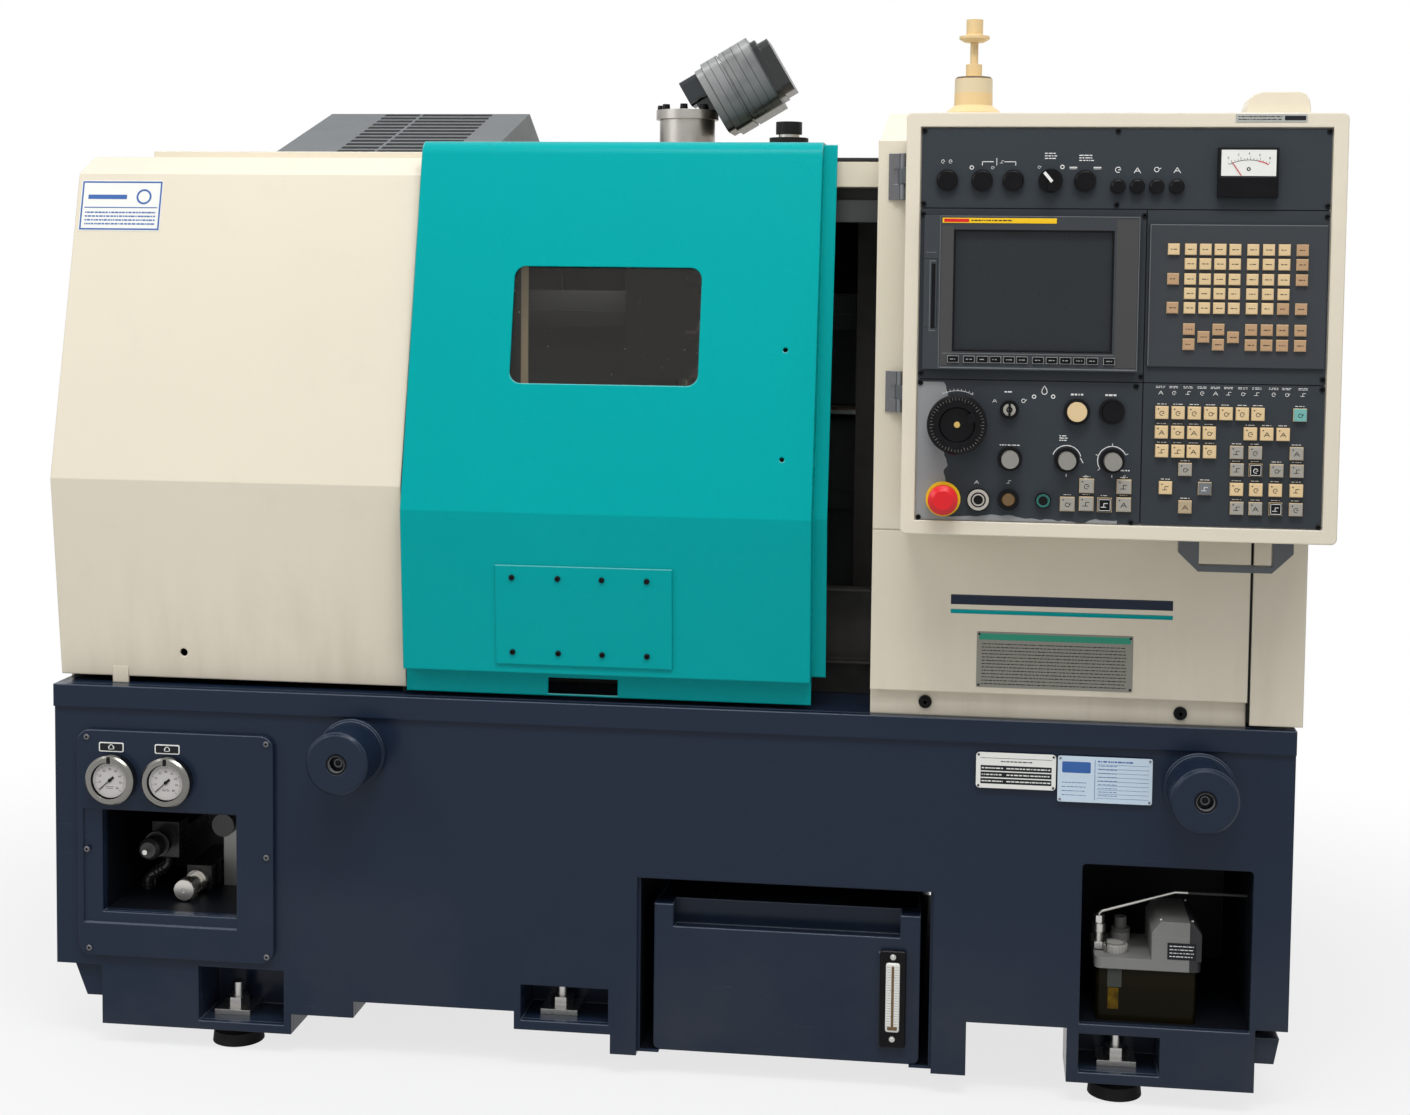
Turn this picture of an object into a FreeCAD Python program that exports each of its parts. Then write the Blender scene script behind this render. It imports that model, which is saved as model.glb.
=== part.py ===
"""CNC turning lathe: a two-axis turning centre with a folded sheet enclosure, a sliding front door,
a hinged control box and a pull-out coolant tank.

Frame: +X to the operator's right, +Y away from the operator, +Z up, millimetres.
The sheet's sizes are measured from a machine datum: X = 0 at the middle of the base, Y = 0 on the
base's front face, Z = 0 on the floor.  Every node is then moved by the same offset, so that the
origin lies on the floor under the middle of the whole machine.
"""
import FreeCAD, Part
import math
import os

import Sketcher

doc = FreeCAD.newDocument("turning_lathe")
sheet = doc.addObject("Spreadsheet::Sheet", "Sizes")

# ----------------------------------------------------------------------------------------------
# Driving dimensions: name, value in mm (angles in degrees), meaning
# ----------------------------------------------------------------------------------------------
DIMENSIONS = [
    # whole machine
    ("origin_x", 10, "machine datum to the part's origin"),
    ("origin_y", 532.5, "machine datum to the part's origin"),
    ("sheet_thick", 4, "folded cover sheet"),
    ("rear_y", 1190, "inside of the base's rear plate"),
    # base weldment
    ("base_half", 915, "half the base's width"),
    ("plate_thick", 10, "base plates"),
    ("base_top", 555, "height of the deck"),
    ("lip_bottom", 521, "lower edge of the deck's front lip"),
    ("lip_proud", 5, "how far the lip stands out"),
    ("end_bottom", 124, "lower edge of the base at its ends"),
    ("leg_bottom", 33, "underside of the legs"),
    ("leg_depth", 97, "leg boxes, front to back"),
    ("left_leg_a", -843, "left leg, outer side"),
    ("left_leg_b", -545, "left leg, inner side"),
    ("left_step_x", -448, "end of the step beside the left leg"),
    ("left_step_z", 64, "underside of that step"),
    ("left_belly_z", 89, "underside between the step and the middle block"),
    ("mid_block_a", -202, "middle block, left side"),
    ("mid_block_z", 62, "underside of the middle block"),
    ("bay_post_a", -57, "left post of the tank bay"),
    ("bay_a", -18, "tank bay, left side"),
    ("bay_b", 414, "tank bay, right side"),
    ("bay_top", 300, "tank bay, top"),
    ("bay_post_b", 464, "right post of the tank bay"),
    ("right_belly_z", 112, "underside right of the tank bay"),
    ("right_leg_a", 607, "right leg, inner side"),
    ("right_leg_b", 870, "right leg, outer side"),
    ("bracket_z", 72, "underside of the end brackets"),
    ("leg_top", 144, "top of the leg boxes"),
    ("post_top", 120, "top of the bay posts"),
    ("niche_a", 624, "lubricator niche, left side"),
    ("niche_b", 862, "lubricator niche, right side"),
    ("niche_bottom", 119, "lubricator niche, bottom"),
    ("niche_top", 352, "lubricator niche, top"),
    ("niche_depth", 330, "depth of both niches"),
    ("chute_a", 30, "chip chute through the deck"),
    ("chute_b", 308, "chip chute through the deck"),
    ("chute_front", 330, "chip chute through the deck"),
    ("chute_rear", 600, "chip chute through the deck"),
    # levelling
    ("jack_y", 58, "levelling bolts behind the front face"),
    ("jack_left_x", -648, "left levelling bolt"),
    ("jack_mid_x", -140, "middle levelling bolt"),
    ("jack_right_x", 680, "right levelling bolt"),
    ("pocket_left_a", -690, "left pocket, left side"),
    ("pocket_left_b", -556, "left pocket, right side"),
    ("pocket_mid_a", -192, "middle pocket, left side"),
    ("pocket_mid_b", -60, "middle pocket, right side"),
    ("pocket_right_a", 624, "right pocket, left side"),
    ("pocket_right_b", 738, "right pocket, right side"),
    ("pocket_left_z", 46, "floor of the left pocket"),
    ("pocket_mid_z", 76, "floor of the middle pocket"),
    ("pocket_right_z", 48, "floor of the right pocket"),
    ("pocket_left_top", 130, "top of the left pocket"),
    ("pocket_mid_top", 130, "top of the middle pocket"),
    ("pocket_right_top", 105, "top of the right pocket"),
    ("foot_r", 39, "rubber foot"),
    ("foot_high", 18, "rubber foot"),
    ("bolt_r", 9, "levelling bolt"),
    # lifting bosses
    ("boss_left_x", -447, "left lifting boss"),
    ("boss_right_x", 783, "right lifting boss"),
    ("boss_z", 470, "lifting bosses"),
    ("boss_r", 46.5, "lifting boss"),
    ("boss_ring_r", 50.5, "ring at the foot of the boss"),
    ("boss_long", 86, "front lifting boss"),
    ("boss_rear_long", 60, "rear lifting boss"),
    # gauge panel
    ("gauge_panel_a", -876, "gauge panel, left side"),
    ("gauge_panel_b", -569, "gauge panel, right side"),
    ("gauge_panel_bottom", 142, "gauge panel"),
    ("gauge_panel_top", 488, "gauge panel"),
    ("gauge_panel_thick", 9, "gauge panel"),
    ("hatch_a", -838, "opening in the gauge panel"),
    ("hatch_b", -626, "opening in the gauge panel"),
    ("hatch_bottom", 209, "opening in the gauge panel"),
    ("hatch_top", 366, "opening in the gauge panel"),
    ("gauge_x1", -819, "first pressure gauge"),
    ("gauge_x2", -731, "second pressure gauge"),
    ("gauge_z", 415, "pressure gauges"),
    ("gauge_r", 38, "gauge bezel"),
    # lubricator
    ("lube_a", 648, "oil reservoir, left side"),
    ("lube_b", 790, "oil reservoir, right side"),
    ("lube_front", 22, "oil reservoir, front"),
    ("lube_rear", 132, "oil reservoir, rear"),
    ("lube_top", 196, "oil reservoir, top"),
    # coolant tank
    ("tank_a", 6, "coolant tank, left side"),
    ("tank_b", 396, "coolant tank, right side"),
    ("tank_front", 12, "coolant tank, front face"),
    ("tank_long", 820, "coolant tank, front to back"),
    ("tank_bottom", 40, "coolant tank"),
    ("tank_top", 259, "coolant tank"),
    ("grip_bottom", 221, "handle trough"),
    # left cover
    ("cover_right", -374, "right end of the left cover"),
    ("cover_bottom", 565, "lower edge of the left cover"),
    ("cover_bottom_y", 26, "front sheet at its lower edge"),
    ("fold_y", -8, "front sheet at its fold"),
    ("fold_z", 868, "height of that fold"),
    ("brow_y", 103, "front sheet at its top edge"),
    ("brow_z", 1329, "height of that edge"),
    ("crown_y", 160, "rear edge of the bevel"),
    ("crown_z", 1357, "top of the left cover"),
    ("lid_top", 1369, "raised lid on the left cover"),
    # hood
    ("hood_a", -769, "louvred hood, left side"),
    ("hood_b", -383, "louvred hood, right side"),
    ("hood_front", 464, "louvred hood, front edge"),
    ("ridge_y", 900, "ridge of the hood"),
    ("ridge_z", 1482, "ridge of the hood"),
    ("hood_rear", 1145, "louvred hood, rear edge"),
    ("slat_pitch", 27, "louvre slots"),
    ("slat_count", 12, "louvre slots"),
    # door
    ("door_a", -370, "door, left edge in the part-open place"),
    ("door_b", 232, "door, right edge"),
    ("door_thick", 3, "door sheet"),
    ("door_strip_y", 14, "recessed strip at the door's foot"),
    ("door_bottom", 562, "lower edge of that strip"),
    ("door_skirt_z", 598, "lower edge of the door's face"),
    ("door_skirt_y", -5, "face at its lower edge"),
    ("door_fold_y", -25, "face at its fold"),
    ("door_fold_z", 836, "height of the fold"),
    ("door_top_y", 97, "face at its top"),
    ("door_top", 1380, "top of the door"),
    ("door_return_y", 168, "rear end of the door's top"),
    ("door_seal", 20, "flange on the door's closing side"),
    ("window_a", -218, "door window"),
    ("window_b", 61, "door window"),
    ("window_bottom", 1022, "door window"),
    ("window_top", 1193, "door window"),
    ("window_r", 17, "corners of the window"),
    ("door_bend", 24, "bend at the door's top"),
    # right cover and side cover
    ("column_x", 318, "left side of the right cover"),
    ("right_cover_b", 846, "right side of the right cover"),
    ("right_cover_z", 592, "lower edge of its front"),
    ("kick_y", 12, "recessed strip below it"),
    ("shoulder_z", 1376, "top of the front"),
    ("shoulder_y", 30, "where the roof starts to rise"),
    ("attic_y", 338, "where the roof is level again"),
    ("attic_z", 1439, "highest part of the right roof"),
    ("side_cover_a", 850, "side cover"),
    ("side_cover_b", 923, "side cover"),
    ("side_cover_z", 560, "side cover"),
    # roof and work area
    ("roof_top", 1353, "roof over the work area"),
    ("roof_thick", 12, "folded depth of the roof panel"),
    ("rail_y", 142, "front of the top rail"),
    ("rail_bottom", 1316, "lower edge of the top rail"),
    ("slot_a", -285, "slot in the roof for the X drive"),
    ("slot_b", 165, "slot in the roof for the X drive"),
    # spindle
    ("spindle_y", 470, "spindle axis"),
    ("spindle_z", 905, "spindle axis"),
    ("spindle_r", 60, "spindle in its bearings"),
    ("head_a", -650, "headstock, rear end"),
    ("head_b", -410, "headstock, front end"),
    ("bearing_gap", 0.06, "radial running clearance"),
    ("nose_x", -330, "spindle nose"),
    ("chuck_r", 82.5, "chuck"),
    ("chuck_long", 72, "chuck"),
    ("jaw_wide", 24, "chuck jaw"),
    ("jaw_slot", 22, "depth of the jaw slots"),
    ("pulley_r", 90, "spindle pulley"),
    ("pulley_x", -720, "spindle pulley, left side"),
    ("pulley_wide", 44, "both pulleys"),
    ("motor_pulley_r", 60, "motor pulley"),
    ("spin_motor_y", 800, "spindle motor axis"),
    ("spin_motor_z", 690, "spindle motor axis"),
    ("spin_motor_r", 105, "spindle motor"),
    # bed and slides
    ("bed_face_y", 760, "front face of the bed"),
    ("bed_a", -374, "bed, left end"),
    ("bed_b", 310, "bed, right end"),
    ("guide_low_z", 780, "lower guide rail"),
    ("guide_high_z", 1100, "upper guide rail"),
    ("x_axis_x", -43, "upright X drive"),
    ("x_axis_y", 625, "upright X drive"),
    ("x_screw_r", 16, "X ball screw"),
    ("z_screw_r", 16, "Z ball screw"),
    ("screw_gap", 0.3, "radial clearance of screws in nuts"),
    ("z_screw_z", 940, "Z ball screw"),
    ("z_screw_y", 740, "Z ball screw"),
    ("tube_r", 48, "X drive tube"),
    ("tube_flange_r", 54, "X drive flange"),
    ("tube_flange_z", 1450, "underside of the flange"),
    ("tube_top", 1466, "top of the flange"),
    ("turret_x", 20, "left face of the turret disc"),
    ("turret_z", 1130, "turret axis"),
    ("turret_r", 96, "turret disc"),
    ("turret_thick", 45, "turret disc"),
    ("tool_reach", 34, "tool holders beyond the disc"),
    ("tool_count", 8, "turret stations"),
    # X servo motor
    ("servo_tilt", 30.4, "tilt of the servo motor from level"),
    ("servo_x", 55, "middle of the motor"),
    ("servo_z", 1507.01, "middle of the motor"),
    ("servo_half", 65, "motor body, half its width"),
    ("servo_rear", 46, "end of the motor body"),
    # control box
    ("box_a", 362, "control box, left side"),
    ("box_b", 935, "control box, right side"),
    ("box_bottom", 837, "control box"),
    ("box_top", 1403, "control box"),
    ("box_front", -150, "control box, front of the frame"),
    ("box_back", -15, "control box, back"),
    ("frame_wide", 19, "frame round the panels"),
    ("panel_y", -148, "front of the panels"),
    ("panel_thick", 3, "panels"),
    ("panel_gap", 1.5, "gap between panels"),
    ("panel_split_high", 1276, "upper split between panels"),
    ("panel_split_low", 1047, "lower split between panels"),
    ("panel_split_x", 680, "upright split between panels"),
    ("pivot_x", 354, "hinge pin of the control box"),
    ("pivot_y", -8, "hinge pin of the control box"),
    ("pivot_r", 6.5, "hinge barrel"),
    ("display_a", 388, "display unit"),
    ("display_b", 671, "display unit"),
    ("display_bottom", 1061, "display unit"),
    ("display_top", 1266, "display unit"),
    ("display_proud", 12, "display unit in front of the panels"),
    ("screen_a", 429, "screen"),
    ("screen_b", 636, "screen"),
    ("screen_bottom", 1087, "screen"),
    ("screen_top", 1246, "screen"),
    ("screen_deep", 7, "screen below the display unit's face"),
    ("wheel_x", 436, "handwheel"),
    ("wheel_z", 988, "handwheel"),
    ("wheel_r", 40, "handwheel"),
    ("wheel_long", 34, "handwheel in front of the panel"),
    ("knob_r", 11.5, "override knobs"),
    ("knob_long", 20, "override knobs"),
    ("knob_z", 942, "override knobs"),
    ("stop_x", 419, "emergency stop"),
    ("stop_z", 886, "emergency stop"),
    ("stop_r", 20, "emergency stop"),
    ("lamp_x", 449.5, "signal lamp post"),
    ("lamp_y", -80, "signal lamp post"),
]

for row, (name, amount, note) in enumerate(DIMENSIONS, start=1):
    sheet.set(f"A{row}", name)
    sheet.set(f"B{row}", str(amount))
    sheet.set(f"C{row}", note)
    sheet.setAlias(f"B{row}", name)
doc.recompute()


class Size:
    """A size with its expression text and its value, so that one sum serves both."""

    def __init__(self, text, value):
        self.text = text
        self.value = value

    def __add__(self, other):
        other = size(other)
        return Size(f"({self.text} + {other.text})", self.value + other.value)

    def __radd__(self, other):
        return size(other) + self

    def __sub__(self, other):
        other = size(other)
        return Size(f"({self.text} - {other.text})", self.value - other.value)

    def __rsub__(self, other):
        return size(other) - self

    def __mul__(self, other):
        other = size(other)
        return Size(f"({self.text} * {other.text})", self.value * other.value)

    def __rmul__(self, other):
        return size(other) * self

    def __truediv__(self, other):
        other = size(other)
        return Size(f"({self.text} / {other.text})", self.value / other.value)

    def __neg__(self):
        return Size(f"(0 - {self.text})", -self.value)


def size(amount):
    """Turn a plain number into a Size."""
    if isinstance(amount, Size):
        return amount
    return Size(f"({float(amount):.6f})", float(amount))


class Sizes:
    """Looks a name up in the spreadsheet."""

    def __getattr__(self, name):
        return Size(f"Sizes.{name}", float(sheet.get(name)))


s = Sizes()
NODES = []


# ----------------------------------------------------------------------------------------------
# Part primitives bound to the sheet
# ----------------------------------------------------------------------------------------------
def bind(obj, path, amount):
    """Bind one property to the sheet."""
    obj.setExpression(path, size(amount).text)


def seat(obj, x, y, z):
    """Bind an object's position."""
    bind(obj, "Placement.Base.x", x)
    bind(obj, "Placement.Base.y", y)
    bind(obj, "Placement.Base.z", z)


def block(name, x, y, z):
    """A box between two values on each axis."""
    box = doc.addObject("Part::Box", name)
    bind(box, "Length", size(x[1]) - x[0])
    bind(box, "Width", size(y[1]) - y[0])
    bind(box, "Height", size(z[1]) - z[0])
    seat(box, x[0], y[0], z[0])
    return box


AXIS_TURNS = {
    "+x": FreeCAD.Rotation(FreeCAD.Vector(0, 1, 0), 90),
    "+y": FreeCAD.Rotation(FreeCAD.Vector(1, 0, 0), -90),
    "-y": FreeCAD.Rotation(FreeCAD.Vector(1, 0, 0), 90),
    "+z": FreeCAD.Rotation(),
}


def rod(name, start, radius, length, axis="+z"):
    """A cylinder from a point along an axis."""
    cylinder = doc.addObject("Part::Cylinder", name)
    cylinder.Placement = FreeCAD.Placement(FreeCAD.Vector(), AXIS_TURNS[axis])
    bind(cylinder, "Radius", radius)
    bind(cylinder, "Height", length)
    seat(cylinder, *start)
    return cylinder


def taper(name, start, radius, end_radius, length, axis="+z"):
    """A cone from a point along an axis."""
    cone = doc.addObject("Part::Cone", name)
    cone.Placement = FreeCAD.Placement(FreeCAD.Vector(), AXIS_TURNS[axis])
    bind(cone, "Radius1", radius)
    bind(cone, "Radius2", end_radius)
    bind(cone, "Height", length)
    seat(cone, *start)
    return cone


def join(name, shapes):
    """One solid from shapes that touch or overlap."""
    fusion = doc.addObject("Part::MultiFuse", name)
    fusion.Shapes = shapes
    fusion.Refine = True
    return fusion


def group(name, shapes):
    """Separate solids that belong to one node."""
    compound = doc.addObject("Part::Compound", name)
    compound.Links = shapes
    return compound


def carve(name, base, tools):
    """A shape less one or more tools."""
    cut = doc.addObject("Part::Cut", name)
    cut.Base = base
    cut.Tool = tools[0] if len(tools) == 1 else group(name + "_tools", tools)
    cut.Refine = True
    return cut


def common(name, base, tool):
    """What two shapes share."""
    shared = doc.addObject("Part::Common", name)
    shared.Base = base
    shared.Tool = tool
    return shared


def feature(name, shape):
    """A shape made with Part's own functions."""
    obj = doc.addObject("Part::Feature", name)
    obj.Shape = shape
    return obj


def node(label, obj):
    """Hand an object in as a node, moved to the part's origin."""
    placed = any("Placement" in path for path, _ in obj.ExpressionEngine)
    if placed or obj.TypeId in ("Part::Box", "Part::Cylinder", "Part::Cone"):
        obj.Label = label + " shape"
        obj = group(label + "_node", [obj])
    obj.Label = label
    seat(obj, -s.origin_x, -s.origin_y, 0)
    NODES.append(obj)
    return obj


# ----------------------------------------------------------------------------------------------
# PartDesign bodies bound to the sheet
# ----------------------------------------------------------------------------------------------
def new_body(name):
    """An empty PartDesign body."""
    return doc.addObject("PartDesign::Body", name)


def new_sketch(body, name, role, offset=0):
    """A sketch on one of the body's own origin planes, moved along the plane's normal."""
    sketch = body.newObject("Sketcher::SketchObject", name)
    planes = [plane for plane in body.Origin.OriginFeatures if plane.Role == role]
    sketch.AttachmentSupport = (planes[0], [""])
    sketch.MapMode = "FlatFace"
    bind(sketch, "AttachmentOffset.Base.z", offset)
    return sketch


def pin_coordinate(sketch, kind, element, point, amount):
    """Fix one coordinate of a point of the sketch."""
    amount = size(amount)
    if abs(amount.value) < 1e-6:
        axis = -2 if kind == "DistanceX" else -1
        sketch.addConstraint(Sketcher.Constraint("PointOnObject", element, point, axis))
        return
    index = sketch.addConstraint(Sketcher.Constraint(kind, -1, 1, element, point, amount.value))
    sketch.setExpression(f"Constraints[{index}]", amount.text)


def draw_outline(sketch, points):
    """A closed outline of straight lines through the points."""
    points = [(size(a), size(b)) for a, b in points]
    vectors = [FreeCAD.Vector(a.value, b.value, 0) for a, b in points]
    first = sketch.GeometryCount
    count = len(points)
    for index in range(count):
        line = Part.LineSegment(vectors[index], vectors[(index + 1) % count])
        sketch.addGeometry(line, False)
    for index in range(count):
        following = first + (index + 1) % count
        sketch.addConstraint(Sketcher.Constraint("Coincident", first + index, 2, following, 1))
    for index, (a, b) in enumerate(points):
        pin_coordinate(sketch, "DistanceX", first + index, 1, a)
        pin_coordinate(sketch, "DistanceY", first + index, 1, b)


def draw_rectangle(sketch, a, b):
    """A rectangle between two values on each sketch axis."""
    draw_outline(sketch, [(a[0], b[0]), (a[1], b[0]), (a[1], b[1]), (a[0], b[1])])


def draw_circle(sketch, a, b, radius):
    """A circle about a point."""
    radius = size(radius)
    centre = FreeCAD.Vector(size(a).value, size(b).value, 0)
    circle = Part.Circle(centre, FreeCAD.Vector(0, 0, 1), radius.value)
    element = sketch.addGeometry(circle, False)
    pin_coordinate(sketch, "DistanceX", element, 3, a)
    pin_coordinate(sketch, "DistanceY", element, 3, b)
    index = sketch.addConstraint(Sketcher.Constraint("Radius", element, radius.value))
    sketch.setExpression(f"Constraints[{index}]", radius.text)


def pad(body, sketch, length, backwards=False):
    """Extrude a sketch into material."""
    pad_feature = body.newObject("PartDesign::Pad", sketch.Name + "_pad")
    pad_feature.Profile = sketch
    pad_feature.Reversed = backwards
    bind(pad_feature, "Length", length)
    doc.recompute()
    return pad_feature


def pocket(body, sketch, length, backwards=False):
    """Cut a sketch into the material, and make sure that it cuts."""
    before = body.Shape.Volume
    pocket_feature = body.newObject("PartDesign::Pocket", sketch.Name + "_pocket")
    pocket_feature.Profile = sketch
    pocket_feature.Reversed = backwards
    bind(pocket_feature, "Length", length)
    doc.recompute()
    if body.Shape.Volume >= before - 1e-3:
        raise RuntimeError(f"{pocket_feature.Name} cuts nothing")
    return pocket_feature


def round_edges(body, radius, wanted):
    """Fillet every edge of the body that the test accepts."""
    doc.recompute()
    names = []
    for index, edge in enumerate(body.Shape.Edges, start=1):
        if wanted(edge):
            names.append(f"Edge{index}")
    if not names:
        raise RuntimeError(f"{body.Name} has no such edge")
    base = body.Tip
    fillet = body.newObject("PartDesign::Fillet", body.Name + "_fillet")
    fillet.Base = (base, names)
    bind(fillet, "Radius", radius)
    doc.recompute()
    return fillet


def edge_along(axis, **near):
    """A test for straight edges along an axis, with the given coordinates."""

    def test(edge):
        if len(edge.Vertexes) != 2 or edge.Curve.TypeId != "Part::GeomLine":
            return False
        a, b = edge.Vertexes[0].Point, edge.Vertexes[1].Point
        step = b - a
        for other in {"x", "y", "z"} - {axis}:
            if abs(getattr(step, other)) > 1e-3:
                return False
        for coordinate, places in near.items():
            places = places if isinstance(places, (list, tuple)) else [places]
            here = getattr(a, coordinate)
            if all(abs(here - size(place).value) > 0.5 for place in places):
                return False
        return True

    return test


def revolve(name, profile, turn, origin):
    """Turn a profile of (radius, height) points about its own Z axis, then lay it along an axis."""
    body = new_body(name)
    sketch = new_sketch(body, name + "_profile", "XZ_Plane")
    draw_outline(sketch, profile)
    revolution = body.newObject("PartDesign::Revolution", name + "_revolution")
    revolution.Profile = sketch
    revolution.ReferenceAxis = (sketch, ["V_Axis"])
    revolution.Angle = 360
    doc.recompute()
    body.Placement = FreeCAD.Placement(FreeCAD.Vector(), AXIS_TURNS[turn])
    seat(body, *origin)
    doc.recompute()
    return body


def profile(name, points, x):
    """A bar with an outline of (y, z) points, between two values of x."""
    body = new_body(name)
    sketch = new_sketch(body, name + "_outline", "YZ_Plane", x[0])
    draw_outline(sketch, points)
    pad(body, sketch, size(x[1]) - x[0])
    return body


def inset(points, thickness):
    """The outline moved inwards by a sheet's thickness; the points run clockwise."""
    count = len(points)
    moved = []
    for index in range(count):
        before = points[index - 1]
        here = points[index]
        after = points[(index + 1) % count]
        ahead_in = (size(here[0]).value - size(before[0]).value, size(here[1]).value - size(before[1]).value)
        ahead_out = (size(after[0]).value - size(here[0]).value, size(after[1]).value - size(here[1]).value)
        normals = []
        for along in (ahead_in, ahead_out):
            length = math.hypot(*along)
            normals.append((along[1] / length, -along[0] / length))
        spread = 1 + normals[0][0] * normals[1][0] + normals[0][1] * normals[1][1]
        factor_a = (normals[0][0] + normals[1][0]) / spread
        factor_b = (normals[0][1] + normals[1][1]) / spread
        moved.append((here[0] + thickness * factor_a, here[1] + thickness * factor_b))
    return moved


def turned(name, shapes, origin, axis, angle):
    """Shapes made about their own origin, turned and set at a point."""
    obj = group(name, shapes)
    obj.Placement = FreeCAD.Placement(FreeCAD.Vector(), FreeCAD.Rotation(FreeCAD.Vector(*axis), angle))
    seat(obj, *origin)
    return obj


def hexagon(name, start, radius, height):
    """A nut or bolt head standing on a point."""
    prism = doc.addObject("Part::Prism", name)
    prism.Polygon = 6
    bind(prism, "Circumradius", radius)
    bind(prism, "Height", height)
    seat(prism, *start)
    return prism


def hose(name, points, radius, bend):
    """A round line along straight runs with tangent bends between them."""
    vectors = [FreeCAD.Vector(*[size(value).value for value in point]) for point in points]
    edges = []
    start = vectors[0]
    for index in range(1, len(vectors) - 1):
        corner = vectors[index]
        before = (vectors[index - 1] - corner).normalize()
        after = (vectors[index + 1] - corner).normalize()
        half_turn = (math.pi - before.getAngle(after)) / 2
        reach = bend * math.tan(half_turn)
        inward = (before + after).normalize()
        middle = corner + inward * (bend / math.cos(half_turn) - bend)
        arc_start = corner + before * reach
        arc_end = corner + after * reach
        edges.append(Part.LineSegment(start, arc_start).toShape())
        edges.append(Part.Arc(arc_start, middle, arc_end).toShape())
        start = arc_end
    edges.append(Part.LineSegment(start, vectors[-1]).toShape())
    wire = Part.Wire(edges)
    circle = Part.Circle(vectors[0], vectors[1] - vectors[0], radius)
    solid = wire.makePipeShell([Part.Wire([circle.toShape()])], True, False)
    expected = math.pi * radius ** 2 * wire.Length
    if abs(solid.Volume - expected) > 0.01 * expected:
        raise RuntimeError(f"{name} has the wrong volume")
    print(f"{name}: radius {radius}, bends {bend}")
    return feature(name, solid)


# ----------------------------------------------------------------------------------------------
# Base weldment
# ----------------------------------------------------------------------------------------------
def make_base_front():
    """Front plate with the legs' outline, the deck's lip and the openings."""
    body = new_body("base_front")
    outline = new_sketch(body, "front_outline", "XZ_Plane")
    draw_outline(
        outline,
        [
            (-s.base_half, s.end_bottom),
            (s.left_leg_a, s.end_bottom),
            (s.left_leg_a, s.leg_bottom),
            (s.left_leg_b, s.leg_bottom),
            (s.left_leg_b, s.left_step_z),
            (s.left_step_x, s.left_step_z),
            (s.left_step_x, s.left_belly_z),
            (s.mid_block_a, s.left_belly_z),
            (s.mid_block_a, s.mid_block_z),
            (s.bay_post_a, s.mid_block_z),
            (s.bay_post_a, s.leg_bottom),
            (s.bay_a, s.leg_bottom),
            (s.bay_a, s.bay_top),
            (s.bay_b, s.bay_top),
            (s.bay_b, s.leg_bottom),
            (s.bay_post_b, s.leg_bottom),
            (s.bay_post_b, s.right_belly_z),
            (s.right_leg_a, s.right_belly_z),
            (s.right_leg_a, s.leg_bottom),
            (s.right_leg_b, s.leg_bottom),
            (s.right_leg_b, s.end_bottom),
            (s.base_half, s.end_bottom),
            (s.base_half, s.base_top),
            (-s.base_half, s.base_top),
        ],
    )
    pad(body, outline, s.plate_thick, backwards=True)
    lip = new_sketch(body, "front_lip", "XZ_Plane")
    draw_rectangle(lip, (-s.base_half, s.base_half), (s.lip_bottom, s.base_top))
    pad(body, lip, s.lip_proud)
    openings = new_sketch(body, "front_openings", "XZ_Plane")
    draw_rectangle(openings, (s.hatch_a, s.hatch_b), (s.hatch_bottom, s.hatch_top))
    draw_rectangle(openings, (s.niche_a, s.niche_b), (s.niche_bottom, s.niche_top))
    draw_rectangle(openings, (s.pocket_left_a, s.pocket_left_b), (s.pocket_left_z, s.pocket_left_top))
    draw_rectangle(openings, (s.pocket_mid_a, s.pocket_mid_b), (s.pocket_mid_z, s.pocket_mid_top))
    draw_rectangle(openings, (s.pocket_right_a, s.pocket_right_b), (s.pocket_right_z, s.pocket_right_top))
    pocket(body, openings, s.plate_thick)
    round_edges(
        body,
        6,
        edge_along("y", x=[s.hatch_a, s.hatch_b, s.niche_a, s.niche_b], z=[s.hatch_top, s.niche_top]),
    )
    node("base_front", body)


def make_base_deck():
    """Deck plate with the chip chute."""
    inner = s.base_half - s.plate_thick
    plate = block(
        "deck_plate",
        (-inner, inner),
        (s.plate_thick, s.rear_y),
        (s.base_top - s.plate_thick, s.base_top),
    )
    chute = block(
        "deck_chute",
        (s.chute_a, s.chute_b),
        (s.chute_front, s.chute_rear),
        (s.base_top - 2 * s.plate_thick, s.base_top + s.plate_thick),
    )
    node("base_deck", carve("deck", plate, [chute]))


def niche_plates(name, x, z):
    """Five sheets that make a box behind an opening in the front plate."""
    wall = 6
    back = s.niche_depth - wall
    outer_x = (x[0] - wall, x[1] + wall)
    y = (s.plate_thick, back)
    return [
        block(name + "_left", (x[0] - wall, x[0]), y, z),
        block(name + "_right", (x[1], x[1] + wall), y, z),
        block(name + "_floor", outer_x, y, (z[0] - wall, z[0])),
        block(name + "_top", outer_x, y, (z[1], z[1] + wall)),
        block(name + "_back", outer_x, (back, s.niche_depth), (z[0] - wall, z[1] + wall)),
    ]


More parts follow.
